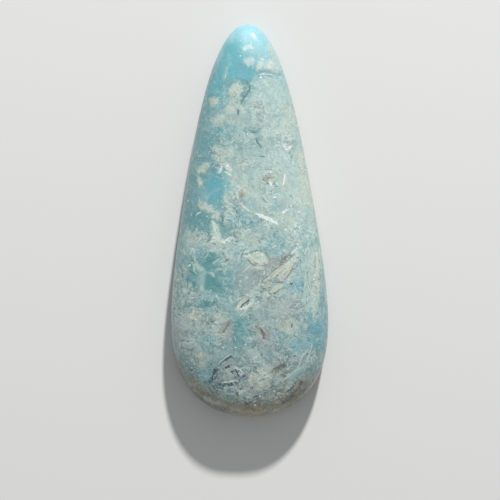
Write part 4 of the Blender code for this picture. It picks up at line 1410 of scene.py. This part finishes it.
def smooth_curve(tree, lines):
    """Rounded curves through given points."""
    curve = out(add(tree, "GeometryNodeMeshToCurve", {"Mesh": lines}))
    return out(add(tree, "GeometryNodeCurveSplineType", {"Curve": curve}, spline_type="CATMULL_ROM"))


STROKE_SIZES = ("Flatness", "Sink", "Spacing", "Sharpness", "Bend", "Bend Pitch", "Raggedness")


def swept(tree, lines, stone, size):
    """Tapered blades along lines of the breadth kept on them, pressed into the stone."""
    feeds = {"Curve": smooth_curve(tree, lines), "Length": size["Spacing"]}
    curve = out(add(tree, "GeometryNodeResampleCurve", feeds, mode="LENGTH"))
    position = out(add(tree, "GeometryNodeInputPosition"))
    bends = add(tree, "ShaderNodeTexNoise", {"Scale": 1 / size["Bend Pitch"], "Detail": 2.0})
    shift = reckon(tree, "SUBTRACT", out(bends, "Color"), (0.5, 0.5, 0.5))
    shift = scaled(tree, shift, size["Bend"])
    curve = out(add(tree, "GeometryNodeSetPosition", {"Geometry": curve, "Offset": shift}))
    nearest, facing = skin_under(tree, stone)
    curve = out(add(tree, "GeometryNodeSetPosition", {"Geometry": curve, "Position": nearest}))
    curve = out(add(tree, "GeometryNodeSetCurveNormal", {"Curve": curve}, mode="Z_UP"))
    spline = add(tree, "GeometryNodeSplineParameter")
    middle = Number(tree, out(spline, "Factor")) * 2 - 1
    taper = (1 - abs(middle) ** size["Sharpness"]).at_least(0.02).root()
    ragged = 1 + size["Raggedness"] * (Number(tree, out(bends, "Fac")) - 0.5)
    half = Number(tree, named(tree, "breadth")) * 0.5 * taper * ragged.at_least(0.1)
    curve = store(tree, curve, "run", out(spline, "Length"))
    ring = out(add(tree, "GeometryNodeCurvePrimitiveCircle", {"Resolution": 6, "Radius": 1.0}))
    ring = store(tree, ring, "across", parts_of(tree, position)[0])
    feeds = {"Curve": curve, "Profile Curve": ring, "Scale": half, "Fill Caps": True}
    blades = out(add(tree, "GeometryNodeCurveToMesh", feeds))
    blades = laid_on(tree, blades, stone, size["Flatness"], size["Sink"])
    island = out(add(tree, "GeometryNodeInputMeshIsland"), "Island Index")
    feeds = {"Min": 0.0, "Max": 1.0, "ID": island, "Seed": 3}
    return store(tree, blades, "tone", out(add(tree, "FunctionNodeRandomValue", feeds)))


def strokes_tree():
    """Blades or seams along given lines."""
    kinds = {"Lines": GEOMETRY, "Stone": OBJECT, **dict.fromkeys(STROKE_SIZES, SIZE), "Material": MATERIAL}
    tree, given = new_geometry_tree("Laid Strokes", kinds)
    size = {name: Number(tree, given[name]) for name in STROKE_SIZES}
    stone = out(add(tree, "GeometryNodeObjectInfo", {"Object": given["Stone"]}), "Geometry")
    end_tree(tree, swept(tree, given["Lines"], stone, size), given["Material"])
    return tree


def shreds_tree():
    """Short crumpled shreds scattered over the crown, pale ones and dark ones."""
    sizes = (*STROKE_SIZES, "Density", "Shortest", "Longest", "Narrowest", "Widest", "Spread", "Dark Share")
    kinds = {"Stone": GEOMETRY, **dict.fromkeys(sizes, SIZE), "Seed": COUNT, "Pale": COLOUR, "Dark": COLOUR}
    tree, given = new_geometry_tree("Crumpled Shreds", {**kinds, "Material": MATERIAL})
    size = {name: Number(tree, given[name]) for name in sizes}
    density = Number(tree, named(tree, "torn")) * size["Density"]
    feeds = {"Mesh": given["Stone"], "Density": density, "Seed": given["Seed"]}
    scatter = add(tree, "GeometryNodeDistributePointsOnFaces", feeds)
    breadth = size["Narrowest"] + (size["Widest"] - size["Narrowest"]) * chance(tree, 0.0, 1.0, 41)
    points = store(tree, out(scatter, "Points"), "breadth", breadth)
    dark = size["Dark Share"].above(chance(tree, 0.0, 1.0, 42))
    feeds = {"Factor": dark, "A": given["Pale"], "B": given["Dark"]}
    points = store(tree, points, "tint", out(add(tree, "ShaderNodeMix", feeds, data_type="RGBA")), "FLOAT_COLOR")
    turn = Number(tree, named(tree, "grain")) + chance(tree, -1.0, 1.0, 43) * size["Spread"]
    rotation = standing(tree, out(scatter, "Normal"), vector_of(tree, turn.cosine(), turn.sine(), 0.0))
    long = size["Shortest"] + (size["Longest"] - size["Shortest"]) * chance(tree, 0.0, 1.0, 44) ** 2
    feeds = {"Count": 4, "Start Location": (-0.5, 0.0, 0.0), "Offset": (1 / 3, 0.0, 0.0)}
    line = out(add(tree, "GeometryNodeMeshLine", feeds))
    feeds = {"Points": points, "Instance": line, "Rotation": rotation, "Scale": long}
    lines = out(add(tree, "GeometryNodeInstanceOnPoints", feeds))
    lines = out(add(tree, "GeometryNodeRealizeInstances", {"Geometry": lines}))
    end_tree(tree, swept(tree, lines, given["Stone"], size), given["Material"])
    return tree


def sliver(tree, sides, steps):
    """A closed lens one unit long, wide and high, lying along X."""
    feeds = {"Vertices": sides, "Side Segments": steps, "Radius": 1.0, "Depth": 1.0}
    rod = out(add(tree, "GeometryNodeMeshCylinder", feeds, fill_type="NONE"), "Mesh")
    x, y, z = parts_of(tree, out(add(tree, "GeometryNodeInputPosition")))
    taper = (1 - 4 * z * z).at_least(0.0).root()
    rod = store(tree, store(tree, rod, "across", x), "run", z * MM)
    place = vector_of(tree, z, x * taper * 0.5, y * taper)
    lens = out(add(tree, "GeometryNodeSetPosition", {"Geometry": rod, "Position": place}))
    return out(add(tree, "GeometryNodeMergeByDistance", {"Geometry": lens, "Distance": 1e-3}))


SLIVER_SIZES = ("Shortest", "Longest", "Narrowest", "Widest", "Flatness", "Sink")


def laid_slivers(tree, points, rotation, stone, size):
    """A sliver of its own length and width on every point, pressed into the stone."""
    points = store(tree, points, "tone", chance(tree, 0.0, 1.0, 11))
    long = size["Shortest"] + (size["Longest"] - size["Shortest"]) * chance(tree, 0.0, 1.0, 13) ** 2
    wide = size["Narrowest"] + (size["Widest"] - size["Narrowest"]) * chance(tree, 0.0, 1.0, 14)
    feeds = {
        "Points": points,
        "Instance": sliver(tree, 4, 4),
        "Rotation": rotation,
        "Scale": vector_of(tree, long, wide, wide * 0.5),
    }
    slivers = out(add(tree, "GeometryNodeInstanceOnPoints", feeds))
    slivers = out(add(tree, "GeometryNodeRealizeInstances", {"Geometry": slivers}))
    return laid_on(tree, slivers, stone, size["Flatness"], size["Sink"])


def silk_tree():
    """Thin slivers scattered over the crown, along the grain."""
    sizes = (*SLIVER_SIZES, "Density", "Spread")
    kinds = {"Stone": GEOMETRY, **dict.fromkeys(sizes, SIZE), "Seed": COUNT, "Tint": COLOUR, "Material": MATERIAL}
    tree, given = new_geometry_tree("Silky Fibres", kinds)
    size = {name: Number(tree, given[name]) for name in sizes}
    density = Number(tree, named(tree, "felt")) * size["Density"]
    feeds = {"Mesh": given["Stone"], "Density": density, "Seed": given["Seed"]}
    scatter = add(tree, "GeometryNodeDistributePointsOnFaces", feeds)
    points = store(tree, out(scatter, "Points"), "tint", given["Tint"], "FLOAT_COLOR")
    turn = Number(tree, named(tree, "grain")) + chance(tree, -1.0, 1.0, 12) * size["Spread"]
    rotation = standing(tree, out(scatter, "Normal"), vector_of(tree, turn.cosine(), turn.sine(), 0.0))
    end_tree(tree, laid_slivers(tree, points, rotation, given["Stone"], size), given["Material"])
    return tree


def bundles_tree():
    """Bundles of thin slivers strung along given lines, spread over each line's breadth."""
    sizes = (*SLIVER_SIZES, "Spacing", "Spread")
    kinds = {"Lines": GEOMETRY, "Stone": OBJECT, **dict.fromkeys(sizes, SIZE), "Material": MATERIAL}
    tree, given = new_geometry_tree("Fibre Bundles", kinds)
    size = {name: Number(tree, given[name]) for name in sizes}
    stone = out(add(tree, "GeometryNodeObjectInfo", {"Object": given["Stone"]}), "Geometry")
    feeds = {"Curve": smooth_curve(tree, given["Lines"]), "Length": given["Spacing"]}
    strung = add(tree, "GeometryNodeCurveToPoints", feeds, mode="LENGTH")
    run_x, run_y, run_z = parts_of(tree, out(strung, "Tangent"))
    aside = Number(tree, named(tree, "breadth")) * 0.5 * chance(tree, -1.0, 1.0, 31)
    offset = scaled(tree, vector_of(tree, -1 * run_y, run_x, 0.0), aside)
    points = out(add(tree, "GeometryNodeSetPosition", {"Geometry": out(strung, "Points"), "Offset": offset}))
    nearest, facing = skin_under(tree, stone)
    points = out(add(tree, "GeometryNodeSetPosition", {"Geometry": points, "Position": nearest}))
    turn = chance(tree, -1.0, 1.0, 32) * size["Spread"]
    heading = vector_of(tree, run_x - run_y * turn, run_y + run_x * turn, 0.0)
    rotation = standing(tree, facing, heading)
    end_tree(tree, laid_slivers(tree, points, rotation, stone, size), given["Material"])
    return tree


def flakes_tree():
    """Small six-sided plates set in the crown at given points, each turned and tilted its own way."""
    sizes = ("Tilt", "Thickness")
    kinds = {"Points": GEOMETRY, "Stone": OBJECT, **dict.fromkeys(sizes, SIZE), "Seed": COUNT, "Material": MATERIAL}
    tree, given = new_geometry_tree("Glint And Speck Flakes", kinds)
    tilt, thickness = (Number(tree, given[name]) for name in sizes)
    stone = out(add(tree, "GeometryNodeObjectInfo", {"Object": given["Stone"]}), "Geometry")
    nearest, facing = skin_under(tree, stone)
    points = out(add(tree, "GeometryNodeMeshToPoints", {"Mesh": given["Points"], "Position": nearest}))
    points = store(tree, points, "tone", chance(tree, 0.0, 1.0, 21))
    lean = vector_of(tree, chance(tree, -1.0, 1.0, 22), chance(tree, -1.0, 1.0, 23), 0.0)
    leaning = reckon(tree, "ADD", facing, scaled(tree, lean, tilt))
    turn = chance(tree, 0.0, math.tau, 24)
    rotation = standing(tree, leaning, vector_of(tree, turn.cosine(), turn.sine(), 0.0))
    breadth = Number(tree, named(tree, "breadth")) * 0.5
    narrow = breadth * chance(tree, 0.55, 1.0, 25)
    feeds = {
        "Points": points,
        "Instance": sliver_plate(tree),
        "Rotation": rotation,
        "Scale": vector_of(tree, breadth, narrow, breadth * thickness),
    }
    flakes = out(add(tree, "GeometryNodeInstanceOnPoints", feeds))
    end_tree(tree, flakes, given["Material"])
    return tree


def sliver_plate(tree):
    """A thin six-sided plate two units across, with a narrower top and bottom."""
    feeds = {"Vertices": 6, "Side Segments": 2, "Radius": 1.0, "Depth": 1.0}
    plate = out(add(tree, "GeometryNodeMeshCylinder", feeds, fill_type="NGON"), "Mesh")
    x, y, z = parts_of(tree, out(add(tree, "GeometryNodeInputPosition")))
    inset = 1 - 0.5 * abs(z)
    plate = store(tree, store(tree, plate, "across", x), "run", y * 0.4 * MM)
    place = vector_of(tree, x * inset, y * inset, z)
    return out(add(tree, "GeometryNodeSetPosition", {"Geometry": plate, "Position": place}))


def lines_mesh(name, rows, colours):
    """The listed lines as loose edges over the crown, with each line's breadth and colour on its points."""
    points, edges, breadths, tints = [], [], [], []
    for label, tint, breadth, line in rows:
        edges += [(len(points) + step, len(points) + step + 1) for step in range(len(line) - 1)]
        points += [(x * MM, y * MM, HIGH.z) for x, y in line]
        breadths += [breadth * MM] * len(line)
        tints += [getattr(colours, tint)] * len(line)
    mesh = bpy.data.meshes.new(name)
    mesh.from_pydata(points, edges, [])
    keep(mesh, "breadth", np.array(breadths))
    keep_tints(mesh, tints)
    return mesh


def specks_mesh(name, colours):
    """The listed specks as loose points over the crown, with each one's size and colour."""
    mesh = bpy.data.meshes.new(name)
    mesh.from_pydata([(x * MM, y * MM, HIGH.z) for tint, x, y, size in FLAKES], [], [])
    keep(mesh, "breadth", np.array([size * MM for tint, x, y, size in FLAKES]))
    keep_tints(mesh, [getattr(colours, tint) for tint, x, y, size in FLAKES])
    return mesh


def finish(piece):
    """Rides the piece on the stone's body."""
    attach(piece, "root")


class LARIMAR_OT_grow_stone(bpy.types.Operator):
    """Grow the polished stone, with its pockets and colours"""

    bl_idname = "larimar.grow_stone"
    bl_label = "Grow the stone"

    def execute(self, context):
        shape = context.scene.larimar_shape
        values = {
            "Length": shape.length,
            "Width": shape.width,
            "Thickness": shape.thickness,
            "Girdle Height": shape.girdle_height,
            "Back Bevel": shape.back_bevel,
            "Taper": shape.taper,
            "Fullness": shape.fullness,
            "Pointedness": shape.pointedness,
            "Fullest Share": fullest_share(shape),
            "Fullest": plumpness(shape, fullest_share(shape)),
            "Axis Wander": shape.axis_wander,
            "Crown Power": shape.crown_power,
            "Ridge Power": shape.ridge_power,
            "Wide Warp": 1.6 * MM,
            "Fine Warp": 0.45 * MM,
            "Stations": shape.stations,
            "Crown Steps": shape.crown_steps,
            "Back Steps": shape.back_steps,
            "Material": larimar_material(context.scene.larimar_colours),
        }
        stone = grown("larimar_stone", stone_tree(), bpy.data.meshes.new("seed"), values)
        mark_stone(stone.data, shape, context.scene.larimar_colours)
        finish(stone)
        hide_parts(NODE)
        return {"FINISHED"}


class LARIMAR_OT_lay_crystals(bpy.types.Operator):
    """Lay the flat crystal blades and dark seams in the crown"""

    bl_idname = "larimar.lay_crystals"
    bl_label = "Lay the blades and seams"

    def execute(self, context):
        colours = context.scene.larimar_colours
        tree = strokes_tree()
        kinds = (
            ("dark_seams", SEAMS, crystal_material("dark_seam", colours.slate, 0.5), 2.5, 0.35 * MM, 2.2),
            ("crystal_blades", BLADES, crystal_material("blade_crystal", colours.silk, 0.4), 5.0, 0.14 * MM, 1.6),
        )
        for name, rows, material, sharpness, bend, raggedness in kinds:
            values = {
                "Stone": bpy.data.objects["larimar_stone"],
                "Flatness": 0.05,
                "Sink": 0.001 * MM,
                "Spacing": 0.08 * MM,
                "Sharpness": sharpness,
                "Bend": bend,
                "Bend Pitch": 2.5 * bend,
                "Raggedness": raggedness,
                "Material": material,
            }
            finish(grown(name, tree, lines_mesh(name, rows, colours), values))
        return {"FINISHED"}


class LARIMAR_OT_string_bundles(bpy.types.Operator):
    """String the bundles of white and pale fibres along their lines"""

    bl_idname = "larimar.string_bundles"
    bl_label = "String the fibre bundles"

    def execute(self, context):
        colours = context.scene.larimar_colours
        values = {
            "Stone": bpy.data.objects["larimar_stone"],
            "Spacing": 0.035 * MM,
            "Shortest": 0.15 * MM,
            "Longest": 0.8 * MM,
            "Narrowest": 0.04 * MM,
            "Widest": 0.11 * MM,
            "Flatness": 0.35,
            "Sink": 0.002 * MM,
            "Spread": 0.35,
            "Material": crystal_material("fibre_bundle", colours.white, 0.35),
        }
        finish(grown("fibre_bundles", bundles_tree(), lines_mesh("bundles", BUNDLES, colours), values))
        return {"FINISHED"}


class LARIMAR_OT_scatter_silk(bpy.types.Operator):
    """Scatter the silky fibres over the crown"""

    bl_idname = "larimar.scatter_silk"
    bl_label = "Scatter the silky fibres"

    def execute(self, context):
        colours = context.scene.larimar_colours
        silk = crystal_material("silk_fibre", colours.silk, 0.35)
        stone = bpy.data.objects["larimar_stone"]
        values = {
            "Density": 3.5 / MM**2,
            "Shortest": 0.15 * MM,
            "Longest": 0.7 * MM,
            "Narrowest": 0.07 * MM,
            "Widest": 0.18 * MM,
            "Flatness": 0.12,
            "Sink": 0.002 * MM,
            "Spread": 0.7,
            "Seed": 5,
            "Tint": (*colours.milk, 1.0),
            "Material": silk,
        }
        finish(grown("silky_fibres", silk_tree(), stone.data, values))
        return {"FINISHED"}


class LARIMAR_OT_scatter_shreds(bpy.types.Operator):
    """Scatter the crumpled shreds of crystal over the crown"""

    bl_idname = "larimar.scatter_shreds"
    bl_label = "Scatter the crumpled shreds"

    def execute(self, context):
        colours = context.scene.larimar_colours
        values = {
            "Density": 1.3 / MM**2,
            "Shortest": 0.3 * MM,
            "Longest": 1.2 * MM,
            "Narrowest": 0.10 * MM,
            "Widest": 0.34 * MM,
            "Spread": 1.2,
            "Dark Share": 0.14,
            "Flatness": 0.08,
            "Sink": 0.001 * MM,
            "Spacing": 0.09 * MM,
            "Sharpness": 2.2,
            "Bend": 0.9 * MM,
            "Bend Pitch": 0.8 * MM,
            "Raggedness": 1.6,
            "Seed": 7,
            "Pale": (*colours.milk, 1.0),
            "Dark": (*colours.ash, 1.0),
            "Material": crystal_material("crumpled_shred", colours.milk, 0.45),
        }
        finish(grown("crumpled_shreds", shreds_tree(), bpy.data.objects["larimar_stone"].data, values))
        return {"FINISHED"}


class LARIMAR_OT_set_flakes(bpy.types.Operator):
    """Set the white flakes, painted highlights standing in for glints, and the coloured specks in the crown"""

    bl_idname = "larimar.set_flakes"
    bl_label = "Set the flakes"

    def execute(self, context):
        colours = context.scene.larimar_colours
        glassy = crystal_material("glint_and_speck_flake", colours.white, 0.2)
        values = {
            "Stone": bpy.data.objects["larimar_stone"],
            "Tilt": 0.35,
            "Thickness": 0.25,
            "Seed": 8,
            "Material": glassy,
        }
        finish(grown("cleavage_flakes", flakes_tree(), specks_mesh("specks", colours), values))
        return {"FINISHED"}


class LARIMAR_OT_set_stage(bpy.types.Operator):
    """Set the floor, the soft lights and the camera"""

    bl_idname = "larimar.set_stage"
    bl_label = "Set the stage"

    def execute(self, context):
        stage = context.scene.larimar_stage
        lay_floor(stage)
        hang_key(stage)
        light_sky(context.scene, stage)
        hang_camera(context.scene, stage)
        context.scene.view_settings.view_transform = "Standard"
        return {"FINISHED"}


def lay_floor(stage):
    """A plain pale floor under the stone."""
    side = stage.floor_size / 2
    mesh = bpy.data.meshes.new("floor")
    corners = [(-side, -side, 0), (side, -side, 0), (side, side, 0), (-side, side, 0)]
    mesh.from_pydata(corners, [], [(0, 1, 2, 3)])
    floor = bpy.data.objects.new("floor", mesh)
    bpy.context.scene.collection.objects.link(floor)
    material, tree, shader = new_material("floor")
    feed(tree, shader.inputs["Base Color"], (*stage.floor, 1.0))
    feed(tree, shader.inputs["Roughness"], 0.9)
    mesh.materials.append(material)


def hang_key(stage):
    """The soft key light, beyond the tip and a little to the right."""
    away = 0.6
    turn, rise = math.radians(stage.key_turn), math.radians(stage.key_rise)
    towards = Vector((math.sin(turn) * math.cos(rise), math.cos(turn) * math.cos(rise), math.sin(rise)))
    light = bpy.data.lights.new("key", "AREA")
    light.shape = "DISK"
    light.size = 0.04
    light.energy = stage.key_share * (math.pi * away) ** 2
    key = bpy.data.objects.new("key", light)
    key.location = towards * away
    key.rotation_euler = towards.to_track_quat("Z", "Y").to_euler()
    bpy.context.scene.collection.objects.link(key)


def light_sky(scene, stage):
    """Even light from all round."""
    world = bpy.data.worlds.new("sky")
    world.use_nodes = True
    ground = world.node_tree.nodes["Background"]
    ground.inputs["Color"].default_value = (0.93, 0.97, 1.0, 1.0)
    ground.inputs["Strength"].default_value = stage.sky_share
    scene.world = world


def hang_camera(scene, stage):
    """The camera looks straight down, with the tip at the top of the picture."""
    lens = bpy.data.cameras.new("camera")
    lens.sensor_width = 36.0
    lens.lens = lens.sensor_width * stage.camera_height / stage.frame_width
    lens.clip_start = 0.01
    camera = bpy.data.objects.new("camera", lens)
    camera.location = (stage.look_across, stage.look_along, stage.camera_height)
    scene.collection.objects.link(camera)
    scene.camera = camera


class LARIMAR_PT_sidebar(bpy.types.Panel):
    """Sizes, colours and steps of the stone."""

    bl_label = "Larimar Cabochon"
    bl_idname = "LARIMAR_PT_sidebar"
    bl_space_type = "VIEW_3D"
    bl_region_type = "UI"
    bl_category = "Larimar"

    def draw(self, context):
        for group in (context.scene.larimar_shape, context.scene.larimar_colours, context.scene.larimar_stage):
            box = self.layout.box()
            for name in group.__annotations__:
                box.prop(group, name)
        for operator in OPERATORS:
            self.layout.operator(operator.bl_idname)


GROUPS = {"larimar_shape": LarimarShape, "larimar_colours": LarimarColours, "larimar_stage": LarimarStage}
OPERATORS = (
    LARIMAR_OT_grow_stone,
    LARIMAR_OT_lay_crystals,
    LARIMAR_OT_string_bundles,
    LARIMAR_OT_scatter_silk,
    LARIMAR_OT_scatter_shreds,
    LARIMAR_OT_set_flakes,
    LARIMAR_OT_set_stage,
)


def register():
    for kind in (*GROUPS.values(), *OPERATORS, LARIMAR_PT_sidebar):
        bpy.utils.register_class(kind)
    for name, kind in GROUPS.items():
        setattr(bpy.types.Scene, name, bpy.props.PointerProperty(type=kind))


def unregister():
    for name in GROUPS:
        delattr(bpy.types.Scene, name)
    for kind in reversed((*GROUPS.values(), *OPERATORS, LARIMAR_PT_sidebar)):
        bpy.utils.unregister_class(kind)


def main():
    register()
    bpy.ops.larimar.grow_stone()
    bpy.ops.larimar.lay_crystals()
    bpy.ops.larimar.string_bundles()
    bpy.ops.larimar.scatter_silk()
    bpy.ops.larimar.scatter_shreds()
    bpy.ops.larimar.set_flakes()
    bpy.ops.larimar.set_stage()


if __name__ == "__main__":
    main()
